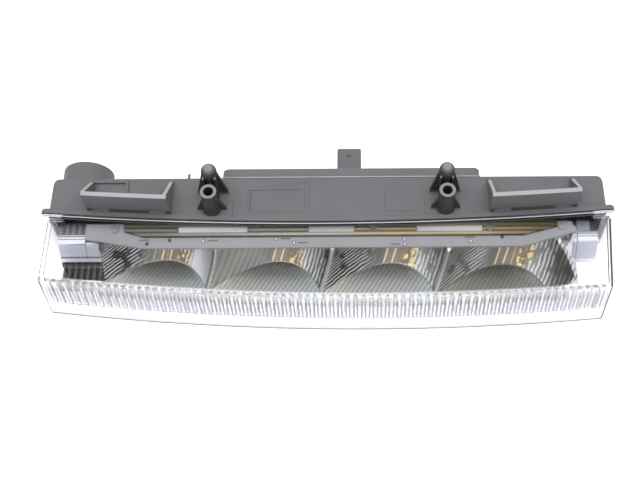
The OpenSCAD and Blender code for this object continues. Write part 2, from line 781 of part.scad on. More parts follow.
module heat_sink() {
    color("#77746a") lamp_frame() translate([0, 0, sink_z]) linear_extrude(sink_t) sink_plan(0);
}

module board_screws() {
    color("#8d8d90") lamp_frame() for (p = board_screw_places()) {
        on_sink = p[0] > sink_left + screw_head_r && p[0] < sink_right - screw_head_r;
        top = on_sink ? sink_z + sink_t : pad_z;
        tip = reflector_top - board_boss_h + 1.2;
        translate([p[0], p[1], tip]) cylinder(r = screw_r, h = top - tip + 0.2, $fn = round_fn);
        translate([p[0], p[1], top]) cylinder(r = screw_head_r, h = screw_head_h, $fn = round_fn);
    }
}

module reflector_screw(x, y) {
    y_rod(x, ear_z, y - 1.6, y, 3);
    y_rod(x, ear_z, y - 0.2, y + ear_t + boss_hole_depth - 1, boss_hole_r - screw_play);
}

module reflector_screws() {
    color("#8d8d90") lamp_frame() {
        reflector_screw(ear_left_x, ear_left_y);
        reflector_screw(ear_right_x, ear_right_y);
    }
}

/* Driver */

cover_inside = cover_back - cover_wall;
driver_back = cover_inside - driver_gap;
driver_front = driver_back - driver_t;
driver_z0 = (housing_h - driver_h) / 2;
driver_x0 = cover_x - driver_w / 2;
driver_screw_x = [driver_x0 + 4, driver_x0 + driver_w - 4];
post_hole_r = 1;

module driver_board() {
    color("#2f6b45") lamp_frame() difference() {
        box_at(driver_x0, driver_x0 + driver_w, driver_front, driver_back, driver_z0, driver_z0 + driver_h);
        for (x = driver_screw_x) y_rod(x, housing_h / 2, driver_front - 1, driver_back + 1, screw_clear_r);
        for (i = [0:pin_count - 1]) box_at(pin_x(i) - pin_w / 2, pin_x(i) + pin_w / 2, driver_front - 1, driver_back + 1,
                                           plug_z - pin_w / 2, plug_z + pin_w / 2);
    }
}

// The parts on the board keep their places beside the pins
inductor_x = plug_x - 34.8;
capacitor_x = [plug_x - 22.8, plug_x - 12.8];
chip_x = plug_x + 15.2;
diode_x = plug_x + 30;
diode_pitch = 5.4;

module driver_inductor() {
    color("#4a4a4c") lamp_frame() {
        y_rod(inductor_x, housing_h / 2, driver_front - 6, driver_front, 6);
        y_rod(inductor_x, housing_h / 2, driver_front - 7, driver_front - 6, 6.6);
    }
}

module driver_capacitors() {
    color("#3c4654") lamp_frame() for (x = capacitor_x)
        y_rod(x, housing_h / 2, driver_front - 7.5, driver_front, 4);
}

module driver_chip() {
    color("#202022") lamp_frame() box_at(chip_x, chip_x + 10, driver_front - 1.6, driver_front,
                                         housing_h / 2 - 4, housing_h / 2 + 4);
}

module driver_diodes() {
    color("#2a2a2c") lamp_frame() for (i = [0:2])
        box_at(diode_x + diode_pitch * i, diode_x + diode_pitch * i + 4, driver_front - 2, driver_front,
               housing_h / 2 - 3, housing_h / 2 + 2.5);
}

module driver_screws() {
    color("#8d8d90") lamp_frame() for (x = driver_screw_x) {
        y_rod(x, housing_h / 2, driver_front - 1.4, driver_front, 2.4);
        y_rod(x, housing_h / 2, driver_front - 0.2, driver_back + 5, post_hole_r - screw_play);
    }
}

ribbon_w = 12;
ribbon_t = 0.6;
ribbon_x = driver_x0 + 1.4;

// A flat lead that steps from the face of the driver board forward and up onto the light board
module board_ribbon() {
    z0 = driver_z0 + driver_h - 4;
    z1 = sink_z + sink_t;
    y1 = driver_front;
    bend = y1 - 6;
    color("#c9a24a") lamp_frame() translate([ribbon_x, 0, 0]) rotate([90, 0, 90]) linear_extrude(ribbon_w)
        polygon([[y1, z0], [bend, z0], [bend, z1 - ribbon_t], [board_back + ribbon_t, z1 - ribbon_t],
                 [board_back + ribbon_t, board_z + 0.4], [board_back, board_z + 0.4], [board_back, z1],
                 [bend + ribbon_t, z1], [bend + ribbon_t, z0 + ribbon_t], [y1, z0 + ribbon_t]]);
}

/* Rear cover */

module cover_outline(inset, y0, y1) {
    front_block(cover_x0 + inset, cover_x1 - inset, cover_z0 + inset, cover_z1 - inset, corner_r - inset / 2, y0, y1);
}

cover_front = housing_back + cover_seal_t;
socket_hole = plug_wall + fit_gap;

module rear_cover() {
    color("#86868a") lamp_frame() difference() {
        union() {
            difference() {
                cover_outline(0, cover_front, cover_back);
                box_at(cover_x0 + cover_lip, cover_x1 - cover_lip, cover_front - 1, cover_inside,
                       cover_z0 + cover_wall + 2, cover_z1 - cover_wall - 2);
            }
            for (x = driver_screw_x) y_rod(x, housing_h / 2, driver_back, cover_inside + 0.5, 2.8);
        }
        for (x = cover_screw_x, z = cover_screw_z) y_rod(x, z, cover_front - 1, cover_back + 1, cover_screw_r);
        for (x = driver_screw_x) y_rod(x, housing_h / 2, driver_back - 1, driver_back + 6, post_hole_r);
        box_at(plug_x - plug_w / 2 + socket_hole, plug_x + plug_w / 2 - socket_hole, cover_inside - 1, cover_back + 1,
               plug_z - plug_h / 2 + socket_hole, plug_z + plug_h / 2 - socket_hole);
    }
}

module rear_cover_seal() {
    color("#2b2b2e") lamp_frame() difference() {
        cover_outline(0.6, housing_back, cover_front);
        box_at(cover_x0 + cover_lip, cover_x1 - cover_lip, housing_back - 1, cover_front + 1,
               cover_z0 + cover_wall + 2, cover_z1 - cover_wall - 2);
        for (x = cover_screw_x, z = cover_screw_z) y_rod(x, z, housing_back - 1, cover_front + 1, cover_screw_r);
    }
}

module rear_cover_screws() {
    color("#8d8d90") lamp_frame() for (x = cover_screw_x, z = cover_screw_z) {
        y_rod(x, z, cover_back, cover_back + 1.8, 2.7);
        y_rod(x, z, housing_back - housing_wall - cover_boss_len + 2, cover_back + 0.2,
              cover_screw_r - 0.3 - screw_play);
    }
}

/* Connector */

gasket_t = 0.6;
shell_front = cover_back + gasket_t;
function pin_x(i) = plug_x + (i - (pin_count - 1) / 2) * pin_pitch;

module connector_shell() {
    color("#7c7c80") lamp_frame() difference() {
        union() {
            front_block(plug_x - plug_w / 2, plug_x + plug_w / 2, plug_z - plug_h / 2, plug_z + plug_h / 2,
                        1.5, shell_front, plug_back);
            front_block(plug_x - plug_w / 2 - 1.2, plug_x + plug_w / 2 + 1.2, plug_z - plug_h / 2 - 1,
                        plug_z + plug_h / 2 + 1, 1.5, shell_front, shell_front + 1.4);
            box_at(plug_x - plug_w / 2 + socket_hole + fit_gap, plug_x + plug_w / 2 - socket_hole - fit_gap,
                   cover_inside + 0.2, shell_front + 1, plug_z - plug_h / 2 + socket_hole + fit_gap,
                   plug_z + plug_h / 2 - socket_hole - fit_gap);
            translate([plug_x - 0.3, plug_back - 5.4, plug_z + plug_h / 2 - 0.2]) rotate([90, 0, 90])
                linear_extrude(1.6, center = true) polygon([[0, 0], [0, 1.4], [3.6, 0]]);
        }
        box_at(plug_x - plug_w / 2 + plug_wall, plug_x + plug_w / 2 - plug_wall, shell_front + 3, plug_back + 1,
               plug_z - plug_h / 2 + plug_wall, plug_z + plug_h / 2 - plug_wall);
        for (i = [0:pin_count - 1]) box_at(pin_x(i) - pin_w / 2, pin_x(i) + pin_w / 2, cover_inside - 1, plug_back,
                                           plug_z - pin_w / 2, plug_z + pin_w / 2);
    }
}

module connector_gasket() {
    color("#b0533c") lamp_frame() difference() {
        front_block(plug_x - plug_w / 2 - 0.9, plug_x + plug_w / 2 + 0.9, plug_z - plug_h / 2 - 0.7,
                    plug_z + plug_h / 2 + 0.7, 1.5, cover_back, shell_front);
        box_at(plug_x - plug_w / 2 + socket_hole, plug_x + plug_w / 2 - socket_hole, cover_back - 1, shell_front + 1,
               plug_z - plug_h / 2 + socket_hole, plug_z + plug_h / 2 - socket_hole);
    }
}

module connector_pins() {
    color("#c8b27a") lamp_frame() for (i = [0:pin_count - 1])
        box_at(pin_x(i) - pin_w / 2, pin_x(i) + pin_w / 2, driver_front - 1, plug_back - 5,
               plug_z - pin_w / 2, plug_z + pin_w / 2);
}

/* Vent */

membrane_t = 0.3;
cap_r = collar_r - collar_wall - 0.3;

module vent_membrane() {
    color("#e9e9e6") lamp_frame() y_rod(collar_x, collar_z, housing_back, housing_back + membrane_t, vent_r + 2.5);
}

module vent_cap() {
    color("#3a3a3c") lamp_frame() difference() {
        y_rod(collar_x, collar_z, housing_back, housing_back + collar_len - 1.5, cap_r);
        y_rod(collar_x, collar_z, housing_back - 1, housing_back + collar_len - 4, cap_r - 1.6);
        for (a = [0:60:300]) translate([collar_x, 0, collar_z]) rotate([0, a, 0])
            y_rod(5.5, 0, housing_back, housing_back + collar_len, 1);
    }
}

housing();
lens_cover();
lens_seal();
reflector();
end_trim_left();
end_trim_right();
led_board();
led(0);  // led_1
led(1);  // led_2
led(2);  // led_3
led(3);  // led_4
thermal_pad();
heat_sink();
board_screws();
reflector_screws();
driver_board();
driver_inductor();
driver_capacitors();
driver_chip();
driver_diodes();
driver_screws();
board_ribbon();
rear_cover();
rear_cover_seal();
rear_cover_screws();
connector_shell();
connector_gasket();
connector_pins();
vent_membrane();
vent_cap();
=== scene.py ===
import math

import bmesh
import bpy
from mathutils import Matrix, Vector


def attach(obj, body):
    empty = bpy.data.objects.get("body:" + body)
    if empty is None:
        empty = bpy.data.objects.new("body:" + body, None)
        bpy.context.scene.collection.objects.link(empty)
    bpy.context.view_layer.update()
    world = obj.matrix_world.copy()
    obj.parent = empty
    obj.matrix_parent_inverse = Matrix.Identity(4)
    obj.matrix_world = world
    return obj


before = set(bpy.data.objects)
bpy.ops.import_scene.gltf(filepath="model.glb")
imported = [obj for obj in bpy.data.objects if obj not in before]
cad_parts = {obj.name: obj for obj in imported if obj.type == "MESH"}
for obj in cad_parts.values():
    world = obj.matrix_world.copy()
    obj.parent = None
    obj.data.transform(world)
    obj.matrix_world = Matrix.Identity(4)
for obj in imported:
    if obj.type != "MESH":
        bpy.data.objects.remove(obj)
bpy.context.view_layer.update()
scene = bpy.context.scene
scene.view_settings.view_transform = "Standard"
mm = 0.001
centreY = 47.1355  # mm from the lamp's own sizes, which start at its front, to the shared frame


def lampPoint(x, y, z):
    return Vector((x * mm, (y - centreY) * mm, z * mm))


def srgb(text):
    # Turns an sRGB hex colour into the linear values that the shaders take
    parts = [int(text[i:i + 2], 16) / 255 for i in (1, 3, 5)]
    linear = [c / 12.92 if c <= 0.04045 else ((c + 0.055) / 1.055) ** 2.4 for c in parts]
    return (*linear, 1.0)


def addNode(tree, kind, sockets=None, stops=None, **settings):
    # Adds one node, sets it up, and links or fills its inputs. A node as a value means its first output in use
    made = tree.nodes.new(kind)
    for name, value in settings.items():
        setattr(made, name, value)
    for name, value in (sockets or {}).items():
        if isinstance(value, bpy.types.Node):
            value = next(output for output in value.outputs if output.enabled)
        if isinstance(value, bpy.types.NodeSocket):
            tree.links.new(value, made.inputs[name])
        else:
            made.inputs[name].default_value = srgb(value) if isinstance(value, str) else value
    if stops:
        elements = made.color_ramp.elements
        while len(elements) < len(stops):
            elements.new(0.5)
        for element, (place, colour) in zip(elements, stops):
            element.position = place
            element.color = srgb(colour)
    return made


def newMaterial(name):
    material = bpy.data.materials.new(name)
    material.use_nodes = True
    tree = material.node_tree
    tree.nodes.clear()
    place = addNode(tree, "ShaderNodeTexCoord").outputs["Object"]
    return material, tree, place


# A mould's spark grain is about 0.1 mm across, too fine to show here, so it is drawn one pixel wide, at 0.6 mm.
# The melt's flow leaves slow clouds about 30 mm wide. The plastics, rubbers and inks here bend light by about 1.5,
# which the shader has already
mouldGrain = {"grainMm": 0.6, "detail": 3.0, "coarseness": 0.6, "cloudMm": 30.0, "cloudDetail": 2.0,
              "toneEnds": (0.3, 0.7), "glossSpread": 0.06, "bump": 0.35, "bumpMm": 0.03}


def mouldedMaterial(name, tones, roughness, grainMm=mouldGrain["grainMm"], paint=None):
    # Two close tones in slow clouds, with a fine grain in the gloss and the bump
    material, tree, place = newMaterial(name)
    cloud = addNode(tree, "ShaderNodeTexNoise", {
        "Vector": place, "Scale": 1 / (mouldGrain["cloudMm"] * mm), "Detail": mouldGrain["cloudDetail"]})
    grain = addNode(tree, "ShaderNodeTexNoise", {
        "Vector": place, "Scale": 1 / (grainMm * mm), "Detail": mouldGrain["detail"],
        "Roughness": mouldGrain["coarseness"]})
    tone = addNode(tree, "ShaderNodeValToRGB", {"Fac": cloud}, stops=list(zip(mouldGrain["toneEnds"], tones)))
    if paint:
        tone = paint(tree, place, tone)
    gloss = addNode(tree, "ShaderNodeMapRange", {
        "Value": grain, "To Min": roughness - mouldGrain["glossSpread"],
        "To Max": roughness + mouldGrain["glossSpread"]})
    bump = addNode(tree, "ShaderNodeBump", {
        "Height": grain, "Strength": mouldGrain["bump"], "Distance": mouldGrain["bumpMm"] * mm})
    shader = addNode(tree, "ShaderNodeBsdfPrincipled", {"Base Color": tone, "Roughness": gloss, "Normal": bump})
    addNode(tree, "ShaderNodeOutputMaterial", {"Surface": shader})
    return material


# Drawing and plating leave marks of about 0.05 mm, too fine to show here, so they are drawn as 1.5 mm spots
metalGrain = {"grainMm": 1.5, "detail": 3.0, "toneEnds": (0.3, 0.7), "smoother": 0.05, "rougher": 0.08,
              "bump": 0.3, "bumpMm": 0.02}


def metalMaterial(name, roughness, tones=None, paint=None):
    # A bare, plated or metallised surface: its grain shows in the gloss, and in the tone unless it is painted
    material, tree, place = newMaterial(name)
    grain = addNode(tree, "ShaderNodeTexNoise", {
        "Vector": place, "Scale": 1 / (metalGrain["grainMm"] * mm), "Detail": metalGrain["detail"]})
    tone = None
    if tones:
        tone = addNode(tree, "ShaderNodeValToRGB", {"Fac": grain}, stops=list(zip(metalGrain["toneEnds"], tones)))
    if paint:
        tone = paint(tree, place, tone)
    gloss = addNode(tree, "ShaderNodeMapRange", {
        "Value": grain, "To Min": roughness - metalGrain["smoother"], "To Max": roughness + metalGrain["rougher"]})
    bump = addNode(tree, "ShaderNodeBump", {
        "Height": grain, "Strength": metalGrain["bump"], "Distance": metalGrain["bumpMm"] * mm})
    shader = addNode(tree, "ShaderNodeBsdfPrincipled", {
        "Base Color": tone, "Roughness": gloss, "Metallic": 1.0, "Normal": bump})
    addNode(tree, "ShaderNodeOutputMaterial", {"Surface": shader})
    return material


def surfaceValues(tree, place):
    # Where a point lies, in mm, and which way its surface faces
    spot = addNode(tree, "ShaderNodeVectorMath", {0: place, "Scale": 1 / mm}, operation="SCALE")
    spot = addNode(tree, "ShaderNodeSeparateXYZ", {0: spot}).outputs
    facing = addNode(tree, "ShaderNodeNewGeometry").outputs["Normal"]
    facing = addNode(tree, "ShaderNodeSeparateXYZ", {0: facing}).outputs
    fromMiddle = addNode(tree, "ShaderNodeMath", {0: spot["X"]}, operation="ABSOLUTE")
    return {"x": spot["X"], "y": spot["Y"], "z": spot["Z"], "fromMiddle": fromMiddle,
            "faceX": facing["X"], "faceY": facing["Y"], "faceZ": facing["Z"]}


def paintLayers(tree, tone, values, layers):
    # Each layer is a colour and the limits that hold it in: a value's name, where it starts and where it is full
    for colour, *limits in layers:
        cover = 1.0
        for name, start, full in limits:
            cover = addNode(tree, "ShaderNodeMapRange", {
                "Value": values[name], "From Min": start, "From Max": full, "To Max": cover})
        tone = addNode(tree, "ShaderNodeMix", {"Factor": cover, 6: tone, 7: colour}, data_type="RGBA")
    return tone


def setMaterial(material, nodeNames):
    for nodeName in nodeNames:
        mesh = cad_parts[nodeName].data
        mesh.materials.clear()
        mesh.materials.append(material)


def addPiece(name, shape, materials):
    # The number that each face carries picks its material from the list
    mesh = bpy.data.meshes.new(name)
    shape.to_mesh(mesh)
    shape.free()
    for material in materials:
        mesh.materials.append(material)
    piece = bpy.data.objects.new(name, mesh)
    scene.collection.objects.link(piece)
    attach(piece, "root")


# From above the front, with the picture's centre a little left of the lens's axis. Angles in degrees, sizes in mm
view = {"azimuth": -0.45, "elevation": 62, "lens": 63.56, "sensor": 36, "shift": -45 / 640,
        "place": (17.67, -249.787, 566.833), "nearest": 10, "farthest": 20000}


def aimCamera():
    azimuth, elevation = math.radians(view["azimuth"]), math.radians(view["elevation"])
    back = Vector((math.sin(azimuth) * math.cos(elevation), -math.cos(azimuth) * math.cos(elevation),
                   math.sin(elevation)))
    right = Vector((math.cos(azimuth), math.sin(azimuth), 0))
    data = bpy.data.cameras.new("camera")
    data.sensor_width = view["sensor"]
    data.lens = view["lens"]
    data.shift_x = view["shift"]
    data.clip_start = view["nearest"] * mm
    data.clip_end = view["farthest"] * mm
    camera = bpy.data.objects.new("camera", data)
    turn = Matrix((right, back.cross(right), back)).transposed().to_4x4()
    camera.matrix_world = Matrix.Translation(lampPoint(*view["place"])) @ turn
    scene.collection.objects.link(camera)
    scene.camera = camera


def seenInPicture(tree):
    # 1 for a ray that reaches the picture without lighting anything matt on its way, else 0
    path = addNode(tree, "ShaderNodeLightPath").outputs
    seen = addNode(tree, "ShaderNodeMath", {0: path["Is Camera Ray"], 1: path["Is Glossy Ray"]}, operation="ADD")
    seen = addNode(tree, "ShaderNodeMath", {0: seen, 1: path["Is Transmission Ray"]}, operation="ADD",
                   use_clamp=True)
    clean = addNode(tree, "ShaderNodeMath", {0: path["Diffuse Depth"], 1: 0.5}, operation="LESS_THAN")
    return addNode(tree, "ShaderNodeMath", {0: seen, 1: clean}, operation="MULTIPLY")


# Reach and under are in metres. The clouds in paper are a few mm wide, too faint to show, so they are drawn broad
paperFloor = {"reach": 3.0, "under": -0.0002, "tones": ("#f6f6f6", "#f9f9f9"), "toneEnds": (0.3, 0.7),
              "cloudMm": 333, "roughness": 0.9, "specular": 0.1, "glow": 0.72}


def addFloor():
    # Matt white paper, pressed: it takes the soft shadow and mirrors nothing
    mesh = bpy.data.meshes.new("floor")
    reach = paperFloor["reach"]
    mesh.from_pydata([(x * reach, y * reach, paperFloor["under"]) for x, y in ((-1, -1), (1, -1), (1, 1), (-1, 1))],
                     [], [(0, 1, 2, 3)])
    floor = bpy.data.objects.new("floor", mesh)
    scene.collection.objects.link(floor)
    material, tree, place = newMaterial("pressed_white_paper")
    cloud = addNode(tree, "ShaderNodeTexNoise", {"Vector": place, "Scale": 1 / (paperFloor["cloudMm"] * mm)})
    tone = addNode(tree, "ShaderNodeValToRGB", {"Fac": cloud},
                   stops=list(zip(paperFloor["toneEnds"], paperFloor["tones"])))
    paper = addNode(tree, "ShaderNodeBsdfPrincipled", {
        "Base Color": tone, "Roughness": paperFloor["roughness"], "Specular IOR Level": paperFloor["specular"]})
    # The paper glows only for rays that end in the picture, so it adds no light to the lamp
    glow = addNode(tree, "ShaderNodeMath", {0: seenInPicture(tree), 1: paperFloor["glow"]}, operation="MULTIPLY")
    light = addNode(tree, "ShaderNodeEmission", {"Color": "#ffffff", "Strength": glow})
    both = addNode(tree, "ShaderNodeAddShader", {0: paper, 1: light})
    addNode(tree, "ShaderNodeOutputMaterial", {"Surface": both})
    mesh.materials.append(material)


# Two plain softboxes, in metres and watts, and the white room's strength: first on the lamp, then in the picture
lights = {"top_softbox": {"place": (0.0, -0.15, 1.3), "target": (0, 0, 0), "size": (2.2, 1.2), "power": 16.2},
          "front_fill": {"place": (0.0, -1.6, 1.0), "target": (0, 0, 0.02), "size": (1.6, 0.8), "power": 3.2}}
room = {"onLamp": 0.16, "inPicture": 1.0}


def addLights():
    for name, softbox in lights.items():
        data = bpy.data.lights.new(name, "AREA")
        data.shape = "RECTANGLE"
        data.size, data.size_y = softbox["size"]
        data.energy = softbox["power"]
        light = bpy.data.objects.new(name, data)
        light.location = softbox["place"]
        ahead = Vector(softbox["target"]) - Vector(softbox["place"])
        light.rotation_euler = ahead.to_track_quat("-Z", "Y").to_euler()
        scene.collection.objects.link(light)


def addWorld():
    world = bpy.data.worlds.new("studio")
    scene.world = world
    world.use_nodes = True
    tree = world.node_tree
    tree.nodes.clear()
    soft = addNode(tree, "ShaderNodeBackground", {"Color": "#ffffff", "Strength": room["onLamp"]})
    white = addNode(tree, "ShaderNodeBackground", {"Color": "#ffffff", "Strength": room["inPicture"]})
    mix = addNode(tree, "ShaderNodeMixShader", {"Fac": seenInPicture(tree), 1: soft, 2: white})
    addNode(tree, "ShaderNodeOutputWorld", {"Surface": mix})


aimCamera()
addFloor()
addWorld()
addLights()
print("camera, floor and lights are in place")

# The four bowls lie side by side across their aim, which is turned from the front. Angles are in degrees, sizes
# and pitches in mm. The places of a ramp run from 0 at a bowl's left to 1 at its right
bowl = {
    "aim": 23.5, "span": 58.24, "left": -37.29, "shift": 71.082, "count": 4, "inset": (1.4, 2.6),
    "flutePitch": 2.2246, "fluteTurn": -31.0786, "uprightPitch": 2.3, "leaningPitch": 2.0, "driftPitch": 7.0,
    "barPitch": 4.1, "slide": 5.0,
    # Noise that bends the painted reflection strokes, gathers them in patches and makes the blobs of the LEDs'
    # painted reflection: size in mm, and detail
    "noises": {"wobble": (5.26, 1.0), "patches": (7.69, 2.0), "blobs": (3.03, 2.0)},
    # Soft edges: the value, where the mask starts and where it is full. bowls counts them from the left end
    "edges": {
        "flute": ("flutes", -0.9, 0.9), "upright": ("uprights", -0.3, 0.3), "leaning": ("leanings", 0.1, 0.6),
        "bar": ("bars", 0.72, 0.86), "patch": ("patches", 0.38, 0.48), "blob": ("blobs", 0.5, 0.56),
        "leftPart": ("inBowl", -14.0, -22.0), "back": ("y", -36.0, -10.0), "low": ("z", 14.5, 13.5),
        "floor": ("z", 4.1, 3.9), "first": ("bowls", 1.0086, 0.9914), "firstTwo": ("bowls", 2.0086, 1.9914),
        "lastTwo": ("bowls", 2.5, 2.55), "fourth": ("bowls", 2.9914, 3.0086)},
    "ramps": {
        # Painted reflections on the floors: dark and light stripes along their flutes
        "floorDark": [(0.0, "#84847c"), (0.25, "#7d7e78"), (0.6, "#7a7d7c"), (1.0, "#788081")],
        "floorLight": [(0.0, "#b4b3a8"), (0.25, "#aaaba3"), (0.6, "#a6a9a8"), (1.0, "#a3aaab")],
        # Painted light and shade across each wall: from a dark cusp at the left through the LEDs' amber painted
        # reflection to a bright seam at the right
        "wall": [(0.0, "#f4f4f6"), (0.014, "#66655f"), (0.06, "#30302d"), (0.2, "#454340"), (0.33, "#8a8581"),
                 (0.45, "#988f86"), (0.58, "#8f816c"), (0.655, "#8f7c5c"), (0.71, "#8f897f"), (0.78, "#85857f"),
                 (0.9, "#6e6e69"), (0.952, "#5e5d58"), (0.965, "#4b4a45"), (0.985, "#f0f0f2")],
        # Masks, full where they are white: the painted reflection strokes, the two sides of a bowl, and the bars and
        # blobs of the LEDs' painted reflection
        "strokes": [(0.0, "#d8d8d8"), (0.25, "#e8e8e8"), (0.36, "#202020"), (0.62, "#101010"), (0.7, "#f4f4f4"),
                    (0.925, "#fafafa"), (0.95, "#b0b0b0")],
        "atLeft": [(0.014, "#000000"), (0.02, "#ffffff"), (0.3, "#ffffff"), (0.4, "#000000")],
        "atRight": [(0.72, "#000000"), (0.745, "#ffffff"), (0.955, "#ffffff"), (0.965, "#000000")],
        "nearBars": [(0.36, "#000000"), (0.4, "#ffffff"), (0.52, "#f0f0f0"), (0.56, "#000000")],
        "nearBlobs": [(0.57, "#000000"), (0.6, "#ffffff"), (0.7, "#ffffff"), (0.73, "#000000")]},
    # Tones of painted light laid over the walls and floors: the floors' paler backs, the bright and paler sides, the
    # strokes and the LEDs' amber reflection
    "backShare": 0.35, "paintedBackLightTone": "#d2d3ce", "fourthTint": "#c6c5bf", "brightTone": "#f8f8fa",
    "palerShare": 0.5, "palerTone": "#a09f9a", "lastTwoShare": 0.22, "lastTwoTone": "#dededc",
    "strokeTone": "#fdfdfd", "ledReflectionTone": "#fff0b4",
}


# Paints the reflector's reflections, highlights and shade into its colour
def paintReflector(tree, place, tone):
    left, span = bowl["left"], bowl["span"]
    aim, turn = math.radians(bowl["aim"]), math.radians(bowl["fluteTurn"])
    spot = addNode(tree, "ShaderNodeVectorMath", {0: place, "Scale": 1 / mm}, operation="SCALE")
    parts = addNode(tree, "ShaderNodeSeparateXYZ", {0: spot}).outputs
    # How far a point lies across all the bowls, counted in bowls, across its own, and as a share of that
    across = addNode(tree, "ShaderNodeVectorMath", {0: spot, 1: (math.cos(aim), -math.sin(aim), 0)},
                     operation="DOT_PRODUCT")
    across = addNode(tree, "ShaderNodeMath", {0: across, 1: bowl["shift"]}, operation="ADD")
    bowls = addNode(tree, "ShaderNodeMapRange", {"Value": across, "From Min": left, "From Max": left + span},
                    clamp=False)
    inBowl = addNode(tree, "ShaderNodeClamp", {"Value": across, "Min": left + bowl["inset"][0],
                                               "Max": left + bowl["count"] * span - bowl["inset"][1]})
    inBowl = addNode(tree, "ShaderNodeMath", {0: inBowl, 1: left + span, 2: left}, operation="WRAP")
    share = addNode(tree, "ShaderNodeMapRange", {"Value": inBowl, "From Min": left, "From Max": left + span})
    values = {"inBowl": inBowl, "bowls": bowls, "y": parts["Y"], "z": parts["Z"]}
    for name, (size, detail) in bowl["noises"].items():
        values[name] = addNode(tree, "ShaderNodeTexNoise", {
            "Vector": place, "Scale": 1 / (size * mm), "Detail": detail})
    # Waves of painted reflection: the floors' fine flutes, the walls' upright and leaning strokes, and the LEDs'
    # mirrored bars
    acrossFlutes = addNode(tree, "ShaderNodeVectorMath", {0: spot, 1: (math.cos(turn), math.sin(turn), 0)},
                          operation="DOT_PRODUCT")
    slide = addNode(tree, "ShaderNodeMath", {0: values["wobble"], 1: bowl["slide"]}, operation="MULTIPLY")
    drift = addNode(tree, "ShaderNodeMath", {0: across, 1: -2 * math.pi / bowl["driftPitch"], 2: slide},
                    operation="MULTIPLY_ADD")
    for name, distance, pitch, start in (
            ("flutes", acrossFlutes, "flutePitch", 0.0), ("uprights", across, "uprightPitch", slide),
            ("leanings", parts["Z"], "leaningPitch", drift), ("bars", across, "barPitch", 0.0)):
        wave = addNode(tree, "ShaderNodeMath", {0: distance, 1: 2 * math.pi / bowl[pitch], 2: start},
                       operation="MULTIPLY_ADD")
        values[name] = addNode(tree, "ShaderNodeMath", {0: wave}, operation="SINE")
    masks = {name: addNode(tree, "ShaderNodeMapRange", {"Value": values[value], "From Min": start, "From Max": full})
             for name, (value, start, full) in bowl["edges"].items()}
    ramps = {name: addNode(tree, "ShaderNodeValToRGB", {"Fac": share}, stops=stops)
             for name, stops in bowl["ramps"].items()}
    masks["second"] = addNode(tree, "ShaderNodeMath", {0: masks["firstTwo"], 1: masks["first"]},
                              operation="SUBTRACT")
    masks["stroke"] = addNode(tree, "ShaderNodeMix", {"Factor": masks["leftPart"], 2: masks["upright"],
                                                      3: masks["leaning"]})
    # Painted reflections: the first bowl is bright at its right, the second like its floor at its left, the fourth
    # paler there
    for name, *factors in (
            ("backLight", masks["back"], bowl["backShare"]), ("bright", masks["first"], ramps["atRight"]),
            ("plain", masks["second"], ramps["atLeft"]),
            ("paler", masks["fourth"], ramps["atLeft"], bowl["palerShare"]),
            ("lastBright", masks["lastTwo"], ramps["atRight"], bowl["lastTwoShare"]),
            ("stroke", masks["stroke"], masks["patch"], ramps["strokes"]),
            ("bar", masks["bar"], ramps["nearBars"]), ("blob", masks["blob"], ramps["nearBlobs"])):
        masks[name] = factors[0]
        for factor in factors[1:]:
            masks[name] = addNode(tree, "ShaderNodeMath", {0: masks[name], 1: factor}, operation="MULTIPLY")
    # Painted reflection of the LEDs: amber bars and blobs low on the walls
    ledReflection = addNode(tree, "ShaderNodeMath", {0: masks["bar"], 1: masks["blob"]}, operation="ADD")
    ledReflection = addNode(tree, "ShaderNodeMath", {0: ledReflection, 1: masks["low"]}, operation="MULTIPLY", use_clamp=True)
    # Painted light: the backs of the floors are painted paler, as if they caught more of the white than the shade of
    # the board leaves them
    floorTone = addNode(tree, "ShaderNodeMix", {
        "Factor": masks["flute"], 6: ramps["floorDark"], 7: ramps["floorLight"]}, data_type="RGBA")
    floorTone = addNode(tree, "ShaderNodeMix", {
        "Factor": masks["backLight"], 6: floorTone, 7: bowl["paintedBackLightTone"]}, data_type="RGBA")
    floorTone = addNode(tree, "ShaderNodeMix", {
        "Factor": masks["fourth"], 6: floorTone, 7: bowl["fourthTint"]}, data_type="RGBA", blend_type="MULTIPLY")
    wallTone = ramps["wall"]
    for cover, colour in ((masks["bright"], bowl["brightTone"]), (masks["paler"], bowl["palerTone"]),
                          (masks["lastBright"], bowl["lastTwoTone"]), (masks["stroke"], bowl["strokeTone"]),
                          (masks["plain"], floorTone), (ledReflection, bowl["ledReflectionTone"])):
        wallTone = addNode(tree, "ShaderNodeMix", {"Factor": cover, 6: wallTone, 7: colour}, data_type="RGBA")
    return addNode(tree, "ShaderNodeMix", {"Factor": masks["floor"], 6: wallTone, 7: floorTone}, data_type="RGBA")


# Grooves along the bar, their shade painted as dark lines between paler stripes, and an anodising that turns browner
# towards the right; the tones are also darker at both ends. Sizes in mm
sink = {
    "groovePitch": 2.6, "groove": (-0.8, 0.5), "reach": (-130, 130),
    "dark": [(0.0, "#4b4c44"), (0.55, "#6f7067"), (0.6, "#736a57"), (0.8, "#756950"), (1.0, "#3e382d")],
    "light": [(0.0, "#6f6f66"), (0.45, "#b0b0a6"), (0.6, "#b3a88d"), (0.8, "#b5a584"), (1.0, "#5e5543")],
}


def paintSink(tree, place, tone):
    values = surfaceValues(tree, place)
    wave = addNode(tree, "ShaderNodeMath", {0: values["y"], 1: 2 * math.pi / sink["groovePitch"]},
                   operation="MULTIPLY")
    values["groove"] = addNode(tree, "ShaderNodeMath", {0: wave}, operation="SINE")
    low, high = sink["reach"]
    along = addNode(tree, "ShaderNodeMapRange", {"Value": values["x"], "From Min": low, "From Max": high})
    dark = addNode(tree, "ShaderNodeValToRGB", {"Fac": along}, stops=sink["dark"])
    light = addNode(tree, "ShaderNodeValToRGB", {"Fac": along}, stops=sink["light"])
    return paintLayers(tree, dark, values, [(light, ("groove", *sink["groove"]))])
